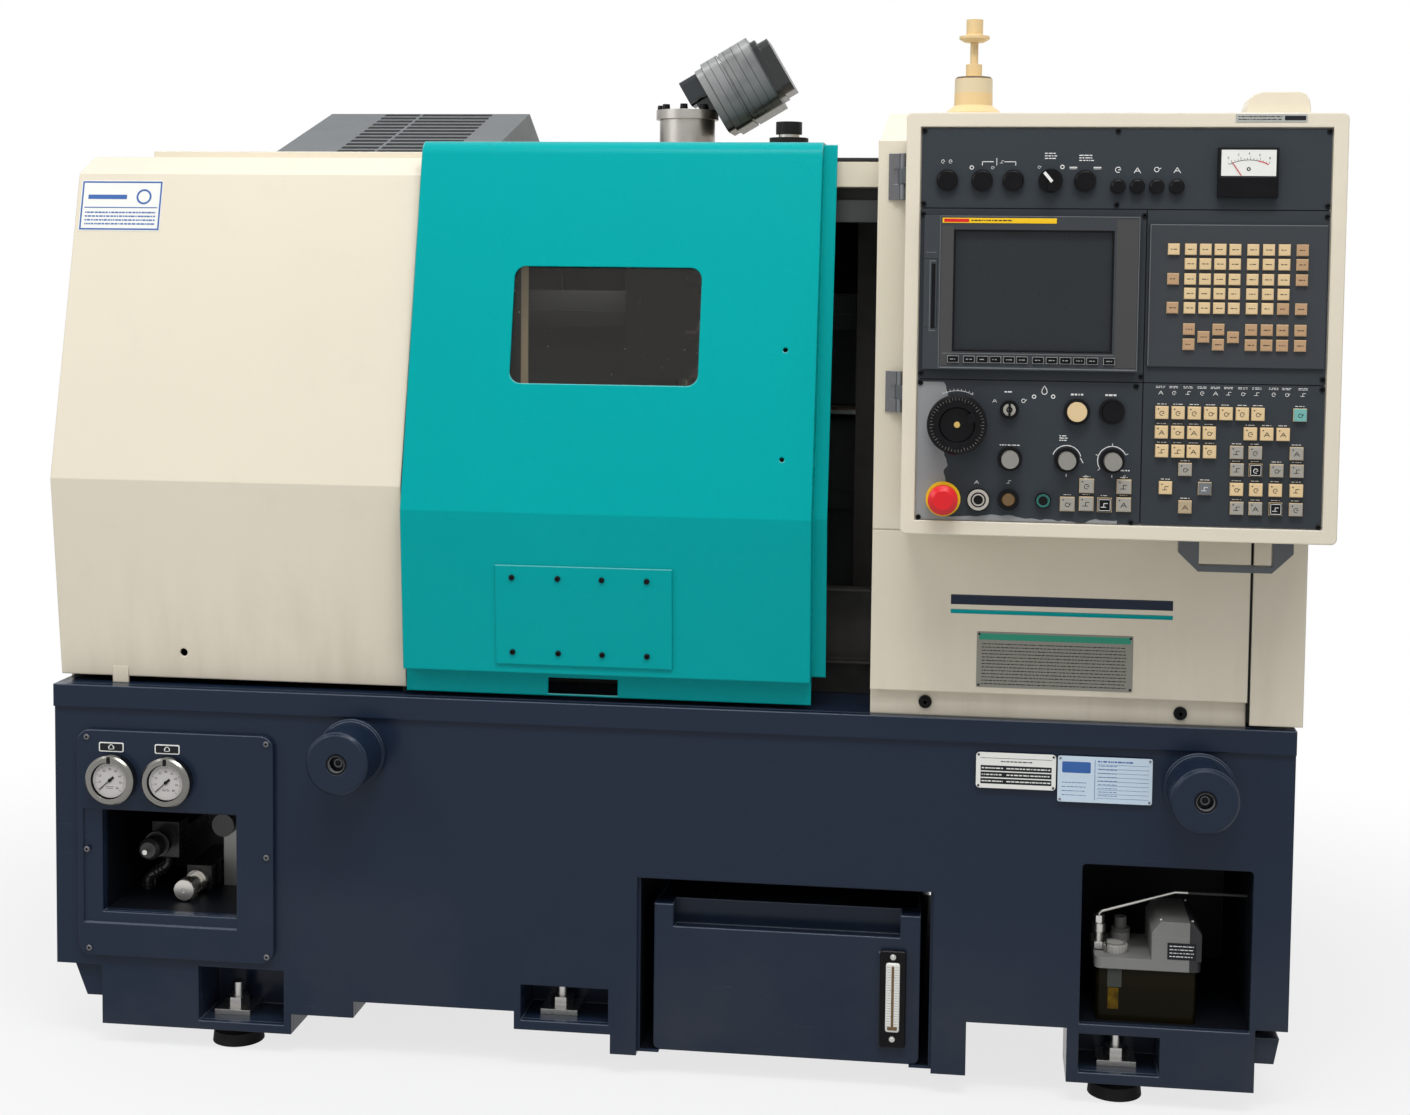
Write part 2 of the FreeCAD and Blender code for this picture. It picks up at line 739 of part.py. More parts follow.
def make_base_walls():
    """End plates, rear plate, bay walls with the tank's slides, and both niches."""
    plate = s.plate_thick
    deck_bottom = s.base_top - plate
    inside = (plate, s.rear_y)
    rear = (s.rear_y, s.rear_y + plate)
    parts = [
        block("end_left", (-s.base_half, plate - s.base_half), inside, (s.end_bottom, s.base_top)),
        block("end_right", (s.base_half - plate, s.base_half), inside, (s.end_bottom, s.base_top)),
        block("rear_plate", (-s.base_half, s.base_half), rear, (s.end_bottom, s.base_top)),
        block("rear_skirt_left", (s.left_leg_a, s.left_leg_b), rear, (s.leg_bottom, s.end_bottom)),
        block("rear_skirt_right", (s.right_leg_a, s.right_leg_b), rear, (s.leg_bottom, s.end_bottom)),
        block("bay_wall_left", (s.bay_a - plate, s.bay_a), inside, (s.post_top, deck_bottom)),
        block("bay_wall_right", (s.bay_b, s.bay_b + plate), inside, (s.post_top, deck_bottom)),
    ]
    web = 4
    foot = 28
    slide_y = (plate, s.tank_front + s.tank_long)
    web_z = (s.tank_bottom - web, s.bay_top)
    foot_z = (s.tank_bottom - web, s.tank_bottom)
    parts += [
        block("slide_web_left", (s.bay_a, s.bay_a + web), slide_y, web_z),
        block("slide_foot_left", (s.bay_a + web, s.bay_a + web + foot), slide_y, foot_z),
        block("slide_web_right", (s.bay_b - web, s.bay_b), slide_y, web_z),
        block("slide_foot_right", (s.bay_b - web - foot, s.bay_b - web), slide_y, foot_z),
    ]
    roof_z = (s.bay_top, s.bay_top + plate)
    chute_y = (s.chute_front, s.chute_rear)
    parts += [
        block("bay_roof_front", (s.bay_a, s.bay_b), (plate, s.chute_front), roof_z),
        block("bay_roof_rear", (s.bay_a, s.bay_b), (s.chute_rear, s.rear_y), roof_z),
        block("bay_roof_left", (s.bay_a, s.chute_a), chute_y, roof_z),
        block("bay_roof_right", (s.chute_b, s.bay_b), chute_y, roof_z),
    ]
    parts += niche_plates("valve_niche", (s.hatch_a, s.hatch_b), (s.hatch_bottom, s.hatch_top))
    parts += niche_plates("lubricator_niche", (s.niche_a, s.niche_b), (s.niche_bottom, s.niche_top))
    node("base_walls", group("walls", parts))


def pocket_leg(name, x, z, pocket_x, pocket_z):
    """A leg box with a pocket in its front, whose floor is bored for a levelling bolt."""
    back = s.leg_depth - s.plate_thick
    outer_y = (s.plate_thick, s.leg_depth)
    floor = block(name + "_floor", pocket_x, outer_y, (z[0], pocket_z[0]))
    return [
        block(name + "_left", (x[0], pocket_x[0]), outer_y, z),
        block(name + "_right", (pocket_x[1], x[1]), outer_y, z),
        carve(name + "_bored", floor, [jack_hole(f"front_{name}")]),
        block(name + "_top", pocket_x, outer_y, (pocket_z[1], z[1])),
        block(name + "_back", pocket_x, (back, s.leg_depth), pocket_z),
    ]


def jack_hole(place):
    """The hole for one levelling bolt."""
    x, y = [(x, y) for name, x, y in jack_places() if name == place][0]
    return rod(f"jack_hole_{place}", (x, y, 0), s.bolt_r + 2, s.leg_top)


def bracket(name, outer, inner, top, lean):
    """A bracket beside a leg, its outer side leaning in towards its foot."""
    depth = (12, 90)
    body = new_body(name)
    sketch = new_sketch(body, name + "_outline", "XZ_Plane", -depth[0])
    draw_outline(sketch, [(outer, top), (inner, top), (inner, s.bracket_z), (outer + lean, s.bracket_z)])
    pad(body, sketch, depth[1] - depth[0], backwards=True)
    return body


def make_base_legs():
    """Leg boxes behind the front plate and at the rear."""
    front = (s.plate_thick, s.leg_depth)
    rear = (s.rear_y - s.leg_depth + s.plate_thick, s.rear_y)
    wall = 10
    low_top = s.niche_bottom - wall
    parts = pocket_leg(
        "left",
        (s.left_leg_a, s.left_leg_b),
        (s.leg_bottom, s.leg_top),
        (s.pocket_left_a, s.pocket_left_b),
        (s.pocket_left_z, s.pocket_left_top),
    )
    parts += pocket_leg(
        "mid",
        (s.mid_block_a, s.bay_post_a),
        (s.mid_block_z, s.leg_top),
        (s.pocket_mid_a, s.pocket_mid_b),
        (s.pocket_mid_z, s.pocket_mid_top),
    )
    parts += pocket_leg(
        "right",
        (s.right_leg_a, s.right_leg_b),
        (s.leg_bottom, low_top),
        (s.pocket_right_a, s.pocket_right_b),
        (s.pocket_right_z, s.pocket_right_top),
    )
    parts += [
        block("step_left", (s.left_leg_b, s.left_step_x), front, (s.left_step_z, s.leg_top)),
        block("belly_left", (s.left_step_x, s.mid_block_a), front, (s.left_belly_z, s.leg_top)),
        block("post_left", (s.bay_post_a, s.bay_a), front, (s.leg_bottom, s.post_top)),
        block("post_right", (s.bay_b, s.bay_post_b), front, (s.leg_bottom, s.post_top)),
        block("belly_right", (s.bay_post_b, s.right_leg_a), front, (s.right_belly_z, s.post_top)),
        bracket("bracket_left", s.left_leg_a - 49, s.left_leg_a, s.end_bottom, 20),
        bracket("bracket_right", s.right_leg_b + 35, s.right_leg_b, low_top, -7),
    ]
    for side, a, b in (("left", s.left_leg_a, s.left_leg_b), ("right", s.right_leg_a, s.right_leg_b)):
        floor = block(f"rear_floor_{side}", (a, b), rear, (s.leg_bottom, s.pocket_left_z))
        cheek = (s.pocket_left_z, s.end_bottom)
        parts += [
            carve(f"rear_bored_{side}", floor, [jack_hole(f"rear_{side}")]),
            block(f"rear_cheek_{side}_a", (a, a + wall), rear, cheek),
            block(f"rear_cheek_{side}_b", (b - wall, b), rear, cheek),
        ]
    node("base_legs", group("legs", parts))


def jack_places():
    """Name, x and y of every levelling bolt."""
    rear_y = s.rear_y + s.plate_thick - s.jack_y
    return [
        ("front_left", s.jack_left_x, s.jack_y),
        ("front_mid", s.jack_mid_x, s.jack_y),
        ("front_right", s.jack_right_x, s.jack_y),
        ("rear_left", s.jack_left_x, rear_y),
        ("rear_right", s.jack_right_x, rear_y),
    ]


def make_levelling():
    """Levelling bolts with plates and nuts, and the rubber feet under four of them."""
    floors = {
        "front_mid": s.pocket_mid_z,
        "front_right": s.pocket_right_z,
    }
    plate_half = 28
    plate_high = 8
    nut_r = 17
    nut_high = 14
    bolt_over = 44
    bolts = []
    feet = []
    for name, x, y in jack_places():
        floor = floors.get(name, s.pocket_left_z)
        start = floor - 32 if name == "front_mid" else s.foot_high
        bolts.append(
            join(
                f"jack_{name}",
                [
                    rod(f"jack_bolt_{name}", (x, y, start), s.bolt_r, floor - start + bolt_over),
                    block(
                        f"jack_plate_{name}",
                        (x - plate_half, x + plate_half),
                        (y - plate_half, y + plate_half),
                        (floor, floor + plate_high),
                    ),
                    hexagon(f"jack_nut_{name}", (x, y, floor + plate_high), nut_r, nut_high),
                ],
            )
        )
        if name != "front_mid":
            feet.append(taper(f"foot_{name}", (x, y, 0), s.foot_r, s.foot_r - 2, s.foot_high))
    node("levelling_bolts", group("jacks", bolts))
    node("levelling_feet", group("feet", feet))


def make_lifting_bosses():
    """Turned bosses with a blind hole, two in front and two at the rear."""
    bore = 15
    step = 8.5
    edge = 4
    ring = 12
    bosses = []
    for side, x in (("left", s.boss_left_x), ("right", s.boss_right_x)):
        for place, y, turn, length in (
            ("front", 0, "-y", s.boss_long),
            ("rear", s.rear_y + s.plate_thick, "+y", s.boss_rear_long),
        ):
            outline = [
                (step, 0),
                (s.boss_ring_r, 0),
                (s.boss_ring_r, ring),
                (s.boss_r, ring),
                (s.boss_r, length - edge),
                (s.boss_r - edge, length),
                (bore, length),
                (bore, length - 40),
                (step, length - 40),
            ]
            bosses.append(revolve(f"boss_{place}_{side}", outline, turn, (x, y, s.boss_z)))
    node("lifting_bosses", group("bosses", bosses))


def make_gauge_panel():
    """Raised panel with the hatch, its two gauges and the valves behind the hatch."""
    body = new_body("gauge_panel")
    outline = new_sketch(body, "gauge_panel_outline", "XZ_Plane")
    draw_rectangle(
        outline,
        (s.gauge_panel_a, s.gauge_panel_b),
        (s.gauge_panel_bottom, s.gauge_panel_top),
    )
    pad(body, outline, s.gauge_panel_thick)
    hatch = new_sketch(body, "hatch_outline", "XZ_Plane", s.gauge_panel_thick)
    draw_rectangle(hatch, (s.hatch_a, s.hatch_b), (s.hatch_bottom, s.hatch_top))
    pocket(body, hatch, s.gauge_panel_thick)
    recess = new_sketch(body, "hatch_recess", "XZ_Plane", s.gauge_panel_thick)
    draw_rectangle(recess, (s.hatch_a - 29, s.hatch_b), (s.hatch_bottom - 17, s.hatch_top + 2))
    pocket(body, recess, 3)
    round_edges(body, 20, edge_along("y", x=[s.gauge_panel_a, s.gauge_panel_b]))
    node("gauge_panel", body)

    rim = 10
    proud = 18
    edge = 3
    dish = 6
    gauges = []
    for number, x in ((1, s.gauge_x1), (2, s.gauge_x2)):
        outline = [
            (0, 0),
            (s.gauge_r, 0),
            (s.gauge_r, proud - edge),
            (s.gauge_r - edge, proud),
            (s.gauge_r - rim, proud),
            (s.gauge_r - rim, proud - dish),
            (0, proud - dish),
        ]
        gauges.append(revolve(f"gauge_{number}", outline, "-y", (x, -s.gauge_panel_thick, s.gauge_z)))
    node("pressure_gauges", group("gauges", gauges))


def make_hydraulic_valves():
    """Manifold with a knob valve, a flow control, a pipe and the valve's conduit."""
    floor = s.hatch_bottom
    back = s.niche_depth - 6
    face = 150
    knob = revolve(
        "valve_knob",
        [
            (0, 0),
            (4, 0),
            (4, 12),
            (12, 12),
            (17, 18),
            (17, 46),
            (20, 46),
            (20, 60),
            (15, 60),
            (15, 122),
            (0, 122),
        ],
        "+y",
        (-786, 28, 292),
    )
    flow = revolve(
        "flow_knob",
        [(0, 0), (16, 0), (16, 22), (12, 22), (12, 50), (17, 50), (17, 64), (0, 64)],
        "+y",
        (-735, 56, 227),
    )
    parts = [
        join("valve", [knob, block("valve_body", (-808, -764), (110, face), (262, 318))]),
        join("flow_valve", [flow, block("flow_body", (-755, -715), (120, 236), (210, 248))]),
        block("manifold", (-820, -645), (236, back), (floor, floor + 110)),
        block("manifold_post", (-706, -650), (face, 236), (floor, 300)),
        join(
            "pipe",
            [
                rod("pipe_end", (-690, 104, 318), 18, face - 104, "+y"),
                block("pipe_flange", (-716, -652), (face, face + 16), (300, 344)),
                rod("pipe_run", (-690, face + 16, 318), 14, 236 - face - 16, "+y"),
            ],
        ),
        block("valve_carrier", (-808, -764), (face, 236), (280, 304)),
        hose(
            "valve_conduit",
            [(-790, 130, 262), (-790, 130, 244), (-818, 116, 226), (-818, 116, floor.value)],
            8,
            11,
        ),
    ]
    node("hydraulic_valves", group("valves", parts))


def make_lubricator():
    """Oil reservoir with the pump head, its motor and the line into the machine."""
    body = new_body("lubricator_tank")
    outline = new_sketch(body, "reservoir_outline", "XY_Plane", s.niche_bottom)
    draw_rectangle(outline, (s.lube_a, s.lube_b), (s.lube_front, s.lube_rear))
    pad(body, outline, s.lube_top - s.niche_bottom)
    round_edges(body, 8, edge_along("z"))
    node("lubricator_tank", body)

    head_top = s.lube_top + 16
    head = new_body("pump_head")
    outline = new_sketch(head, "pump_head_outline", "XY_Plane", s.lube_top)
    draw_rectangle(outline, (s.lube_a - 3, s.lube_b + 5), (s.lube_front - 4, s.lube_rear + 2))
    pad(head, outline, head_top - s.lube_top)
    round_edges(head, 10, edge_along("z"))

    motor_x = (725, 795)
    motor_y = (s.lube_front - 4, s.lube_rear + 2)
    motor_top = 246
    rim_top = 252
    lid_top = 268
    bevel = 12
    lid = new_body("pump_lid")
    section = new_sketch(lid, "pump_lid_section", "XZ_Plane", -motor_y[1])
    draw_outline(
        section,
        [
            (motor_x[0], motor_top),
            (motor_x[1], motor_top),
            (motor_x[1], rim_top),
            (motor_x[1] - bevel, lid_top),
            (motor_x[0] + bevel, lid_top),
            (motor_x[0], rim_top),
        ],
    )
    pad(lid, section, motor_y[1] - motor_y[0])

    cap = (676, 50)
    filler = (687, 106)
    outlet = (652, 58)
    outlet_top = head_top + 44
    line_r = 2.5
    line_end_z = 300
    pump = [
        join(
            "pump",
            [
                head,
                block("pump_motor", motor_x, motor_y, (head_top, motor_top)),
                rod("pump_cap", (*cap, head_top), 17, 12),
                rod("filler_neck", (*filler, head_top), 14, 18),
                rod("filler_head", (*filler, head_top + 18), 9, 16),
                rod("outlet_post", (*outlet, head_top), 7, outlet_top - head_top),
                rod("outlet_nut", (*outlet, head_top + 26), 10, 12),
            ],
        ),
        lid,
        hose(
            "pump_line",
            [
                (*outlet, outlet_top.value),
                (*outlet, outlet_top.value + 10),
                (760, outlet[1], line_end_z),
                (s.niche_b, outlet[1], line_end_z),
            ],
            line_r,
            9,
        ),
    ]
    node("lubricator_pump", group("pump_parts", pump))


# ----------------------------------------------------------------------------------------------
# Covers
# ----------------------------------------------------------------------------------------------
def make_left_cover():
    """Folded cover over the headstock, with the raised lid and the louvred hood."""
    body = new_body("left_cover_shell")
    step_y = 60
    outer = [
        (s.cover_bottom_y, s.cover_bottom),
        (s.fold_y, s.fold_z),
        (s.brow_y, s.brow_z),
        (s.crown_y, s.crown_z),
        (s.rear_y, s.crown_z),
        (s.rear_y, s.base_top),
        (step_y, s.base_top),
        (step_y, s.cover_bottom),
    ]
    outline = new_sketch(body, "left_cover_outline", "YZ_Plane", -s.base_half)
    draw_outline(outline, outer)
    pad(body, outline, s.cover_right + s.base_half)
    hollow = outer[:6] + [(s.cover_bottom_y + 8, s.base_top)]
    inner = inset(hollow, s.sheet_thick)
    below = s.base_top - 20
    slope = (inner[0][0] - inner[1][0]) / (inner[1][1] - inner[0][1])
    inner[0] = (inner[0][0] + slope * (inner[0][1] - below), below)
    inner[5] = (inner[5][0], below)
    inside = new_sketch(body, "left_cover_inside", "YZ_Plane", s.cover_right)
    draw_outline(inside, inner[:6])
    pocket(body, inside, s.cover_right + s.base_half - s.sheet_thick)
    hole = new_sketch(body, "left_cover_hole", "XZ_Plane", 10)
    draw_circle(hole, -719, 605, 6)
    pocket(body, hole, 60)
    lid = block(
        "service_lid",
        (s.cover_right - 461, s.cover_right),
        (200, s.hood_front - 8),
        (s.crown_z, s.lid_top),
    )
    tab = block("cover_tab", (-833, -808), (24, 28), (s.base_top, 580))
    node("left_cover", join("left_cover_sheets", [body, lid, tab]))

    hood = new_body("louvre_hood")
    hood_sheet = 3
    hood_outer = [
        (s.hood_front, s.crown_z),
        (s.ridge_y, s.ridge_z),
        (s.hood_rear, s.crown_z),
    ]
    hood_outline = new_sketch(hood, "hood_outline", "YZ_Plane", s.hood_a)
    draw_outline(hood_outline, hood_outer)
    pad(hood, hood_outline, s.hood_b - s.hood_a)
    inner_slope = 25
    hood_inner = [
        (s.hood_front + inner_slope, s.crown_z),
        (s.ridge_y, s.ridge_z - hood_sheet * 1.5),
        (s.hood_rear - inner_slope / 2, s.crown_z),
    ]
    hood_inside = new_sketch(hood, "hood_inside", "YZ_Plane", s.hood_b - hood_sheet)
    draw_outline(hood_inside, hood_inner)
    pocket(hood, hood_inside, s.hood_b - s.hood_a - 2 * hood_sheet)
    slots = new_sketch(hood, "louvre_slots", "XY_Plane", s.ridge_z)
    first = s.hood_front + 66
    slot_wide = 9
    draw_rectangle(slots, (-660, -593), (first, first + slot_wide))
    draw_rectangle(slots, (-587, -453), (first, first + slot_wide))
    slot_cut = pocket(hood, slots, s.ridge_z - s.crown_z - 1)
    pattern = hood.newObject("PartDesign::LinearPattern", "louvre_rows")
    pattern.Originals = [slot_cut]
    pattern.Direction = (slots, ["V_Axis"])
    bind(pattern, "Length", s.slat_pitch * (s.slat_count - 1))
    pattern.setExpression("Occurrences", "Sizes.slat_count")
    hood.Tip = pattern
    doc.recompute()
    node("louvre_hood", hood)


def make_roof():
    """Roof over the work area, the rail behind the door's top, the cap and its cable."""
    x = (s.cover_right, s.column_x)
    behind_rail = s.rail_y + 28
    sheet_bottom = s.roof_top - s.roof_thick
    panel = block("roof_panel", x, (behind_rail, s.rear_y), (sheet_bottom, s.roof_top))
    slot = block(
        "roof_slot",
        (s.slot_a, s.slot_b),
        (s.x_axis_y - s.tube_flange_r, s.x_axis_y + s.tube_flange_r),
        (sheet_bottom - 1, s.roof_top + 1),
    )
    node("roof_cover", carve("roof", panel, [slot]))

    band = (1264, 1297)
    rail = join(
        "rail",
        [
            block("rail_beam", x, (s.rail_y, behind_rail), (s.rail_bottom, s.roof_top)),
            block("rail_band", x, (behind_rail, behind_rail + 6), (band[0], sheet_bottom)),
            block("rail_lip", x, (behind_rail - 14, behind_rail), band),
        ],
    )
    node("top_rail", rail)

    cap_x = 150
    cap_y = 450
    cap = join(
        "cap",
        [
            rod("cap_neck", (cap_x, cap_y, s.roof_top), 26, 20),
            rod("cap_body", (cap_x, cap_y, s.roof_top + 20), 32, 35),
            rod("cap_collar", (cap_x, cap_y, s.roof_top + 55), 17, 6),
            rod("cap_top", (cap_x, cap_y, s.roof_top + 61), 21.5, 20),
        ],
    )
    node("roof_cap", cap)
    cable_r = 5
    cable_z = s.roof_top + cable_r
    cable = hose(
        "roof_cable",
        [(cap_x, cap_y - 26, cable_z), (cap_x, 212, cable_z), (s.column_x, 212, cable_z)],
        cable_r,
        60,
    )
    node("roof_cable", cable)


def make_right_covers():
    """Cover of the electrical cabinet, and the narrow cover on its right."""
    outer = [
        (s.kick_y, s.base_top),
        (s.kick_y, s.right_cover_z),
        (0, s.right_cover_z),
        (0, s.shoulder_z),
        (s.shoulder_y, s.shoulder_z),
        (s.attic_y, s.attic_z),
        (s.rear_y, s.attic_z),
        (s.rear_y, s.base_top),
    ]
    cover = profile("right_cover", outer, (s.column_x, s.right_cover_b))
    inner = inset(outer, s.sheet_thick)
    below = s.base_top - 10
    inner[0] = (inner[0][0], below)
    inner[7] = (inner[7][0], below)
    inside = new_sketch(cover, "right_cover_inside", "YZ_Plane", s.right_cover_b - s.sheet_thick)
    draw_outline(inside, inner)
    pocket(cover, inside, s.right_cover_b - s.column_x - 2 * s.sheet_thick)
    seam_z = 823
    seam = new_sketch(cover, "right_cover_seam", "XZ_Plane")
    draw_rectangle(seam, (s.column_x - 1, s.right_cover_b + 1), (seam_z - 1, seam_z + 1))
    pocket(cover, seam, 1.5)
    node("right_cover", cover)

    side = new_body("side_cover_folded")
    outline = new_sketch(side, "side_outline", "XY_Plane", s.side_cover_z)
    draw_rectangle(outline, (s.side_cover_a, s.side_cover_b), (0, s.rear_y))
    pad(side, outline, s.shoulder_z - s.side_cover_z)
    inside = new_sketch(side, "side_inside", "XY_Plane", s.shoulder_z - s.sheet_thick)
    draw_rectangle(
        inside,
        (s.side_cover_a - 1, s.side_cover_b - s.sheet_thick),
        (s.sheet_thick, s.rear_y - s.sheet_thick),
    )
    pocket(side, inside, s.shoulder_z)
    strip_x = (s.right_cover_b, s.side_cover_a + s.sheet_thick)
    strips = [
        block("side_strip_front", strip_x, (4, 20), (s.side_cover_z + 60, s.shoulder_z - 60)),
        block("side_strip_rear", strip_x, (s.rear_y - 20, s.rear_y - 4),
              (s.side_cover_z + 60, s.shoulder_z - 60)),
    ]
    node("right_side_cover", join("side_cover", [side] + strips))


def make_work_area():
    """Sheets that enclose the work area behind the door."""
    wall_x = (s.cover_right - 8, s.cover_right - 4)
    outer = [
        (s.cover_bottom_y + 1, s.base_top),
        (s.fold_y, s.fold_z),
        (s.brow_y, s.brow_z),
        (s.crown_y, s.crown_z),
        (s.rear_y, s.crown_z),
        (s.rear_y, s.base_top),
    ]
    wall_points = inset(outer, s.sheet_thick)
    wall_points[0] = (wall_points[0][0] + 4, s.base_top)
    wall_points[5] = (wall_points[5][0], s.base_top)
    wall = profile("guard_left", wall_points, wall_x)
    spindle_hole = rod(
        "guard_hole",
        (wall_x[0] - 1, s.spindle_y, s.spindle_z),
        s.spindle_r + 6,
        s.sheet_thick + 2,
        "+x",
    )
    wall_cut = carve("guard_left_cut", wall, [spindle_hole])
    band = (s.spindle_z - s.spindle_r - 16, s.spindle_z + s.spindle_r + 16)
    front_y = s.fold_y - 1
    rear_y = s.rear_y + 1
    sheets = [
        ("low", (front_y, rear_y), (s.base_top, band[0])),
        ("front", (front_y, s.spindle_y), band),
        ("rear", (s.spindle_y, rear_y), band),
        ("high", (front_y, rear_y), (band[1], s.crown_z)),
    ]
    sill_y = (146, 150)
    sill_top = 717
    step_top = 608
    lip = 26
    x = (wall_x[1], s.column_x)
    parts = [
        common(f"guard_left_{place}", wall_cut, block(f"guard_part_{place}", wall_x, y, z))
        for place, y, z in sheets
    ]
    parts += [
        block("sill", x, sill_y, (s.base_top, sill_top)),
        block("sill_lip", x, (sill_y[0] - lip, sill_y[0]), (sill_top - 4, sill_top)),
        block("sill_step", x, (sill_y[0] - lip, sill_y[0]), (step_top - 4, step_top)),
        block("guard_post", (274, s.column_x), (300, 304), (s.base_top, 1300)),
        block("rear_sheet", (s.cover_right, s.column_x), (s.rear_y - 4, s.rear_y),
              (s.base_top, s.roof_top - s.roof_thick)),
    ]
    node("work_area_guard", group("guards", parts))


def make_door():
    """Sliding door of one folded sheet, its window and the plate on its lower face."""
    body = new_body("door_folded")
    face = [
        (s.door_strip_y, s.door_bottom),
        (s.door_strip_y, s.door_skirt_z),
        (s.door_skirt_y, s.door_skirt_z),
        (s.door_fold_y, s.door_fold_z),
        (s.door_top_y, s.door_top),
        (s.door_return_y, s.door_top),
    ]
    back = inset(face, s.door_thick)
    back[0] = (s.door_strip_y + s.door_thick, s.door_bottom)
    back[5] = (s.door_return_y, s.door_top - s.door_thick)
    outline = new_sketch(body, "door_profile", "YZ_Plane", s.door_a)
    draw_outline(outline, face + back[::-1])
    pad(body, outline, s.door_b - s.door_a)
    inner_bend = s.door_bend - s.door_thick
    round_edges(body, s.door_bend, edge_along("x", y=s.door_top_y, z=s.door_top))
    round_edges(body, inner_bend, edge_along("x", y=back[4][0], z=back[4][1]))
    corner = [
        (back[4][0] - inner_bend * 0.07, back[4][1] - inner_bend),
        (back[4][0] + inner_bend * 0.3, back[4][1] - inner_bend * 0.3),
        (back[4][0] + inner_bend, back[4][1]),
    ]

    web_deep = 35
    web_back = inset(face, s.door_thick + web_deep)
    web = new_sketch(body, "door_web", "YZ_Plane", s.door_b - s.door_thick)
    draw_outline(web, [back[2], back[3]] + corner
                 + [(web_back[4][0], back[4][1]), web_back[3], (web_back[2][0], back[2][1])])
    pad(body, web, s.door_thick)
    flange = new_sketch(body, "door_flange", "YZ_Plane", s.door_b)
    flange_front = inset(face, web_deep)
    draw_outline(
        flange,
        [
            (flange_front[2][0], back[2][1]),
            flange_front[3],
            (flange_front[4][0], back[4][1]),
            (web_back[4][0], back[4][1]),
            web_back[3],
            (web_back[2][0], back[2][1]),
        ],
    )
    pad(body, flange, s.door_seal)

    slot = new_sketch(body, "door_slot", "XZ_Plane", 60)
    draw_rectangle(slot, (-156, -52), (565, 589))
    for hole_z in (920, 1076):
        draw_circle(slot, 187, hole_z, 3.5)
    pocket(body, slot, 200)
    opening = rounded_block(
        "window_opening",
        (s.window_a, s.window_b),
        (-60, 160),
        (s.window_bottom, s.window_top),
        s.window_r,
    )
    node("door_panel", carve("door_sheet", body, [opening]))

    pane = 4
    edge = 15
    inner = s.door_thick
    rise = (s.door_top_y - s.door_fold_y) / (s.door_top - s.door_fold_z)
    low = s.window_bottom - edge
    high = s.window_top + edge
    low_y = s.door_fold_y + (low - s.door_fold_z) * rise + inner * 1.025
    high_y = s.door_fold_y + (high - s.door_fold_z) * rise + inner * 1.025
    pane_points = [(low_y, low), (high_y, high), (high_y + pane, high), (low_y + pane, low)]
    node("door_window", profile("window_pane", pane_points, (s.window_a - edge, s.window_b + edge)))

    plate_z = (611, 759)
    plate_x = (-229, 32)
    lean = (s.door_fold_y - s.door_skirt_y) / (s.door_fold_z - s.door_skirt_z)
    foot_y = s.door_skirt_y + (plate_z[0] - s.door_skirt_z) * lean
    head_y = s.door_skirt_y + (plate_z[1] - s.door_skirt_z) * lean
    plate_points = [
        (foot_y - inner, plate_z[0]),
        (head_y - inner, plate_z[1]),
        (head_y, plate_z[1]),
        (foot_y, plate_z[0]),
    ]
    node("access_plate", profile("access_sheet", plate_points, plate_x))


def make_tank():
    """Coolant tank on its slides, open at the top under the chip chute."""
    wall = 5
    trough = 34
    body = new_body("tank_sheet")
    outline = new_sketch(body, "tank_outline", "XZ_Plane", -s.tank_front)
    draw_rectangle(outline, (s.tank_a, s.tank_b), (s.tank_bottom, s.tank_top))
    pad(body, outline, s.tank_long, backwards=True)
    grip = new_sketch(body, "tank_grip", "XZ_Plane", -s.tank_front)
    draw_rectangle(grip, (s.tank_a + 28, s.tank_b - 29), (s.grip_bottom, s.tank_top + 1))
    pocket(body, grip, trough)
    lip = block(
        "tank_lip",
        (s.tank_a + 28, s.tank_b - 29),
        (s.tank_front, s.tank_front + 3),
        (s.grip_bottom, s.grip_bottom + 5),
    )
    inside = new_sketch(body, "tank_inside", "XY_Plane", s.tank_top)
    inside_front = s.tank_front + trough + wall
    draw_rectangle(
        inside,
        (s.tank_a + wall, s.tank_b - wall),
        (inside_front, s.tank_front + s.tank_long - wall),
    )
    pocket(body, inside, s.tank_top - s.tank_bottom - wall)
    round_edges(body, 10, edge_along("y", x=[s.tank_a, s.tank_b], z=[s.tank_bottom]))
    backing = block("gauge_backing", (337, 374), (s.tank_front - 4, s.tank_front), (64, 205))
    node("coolant_tank", join("tank", [body, lip, backing]))


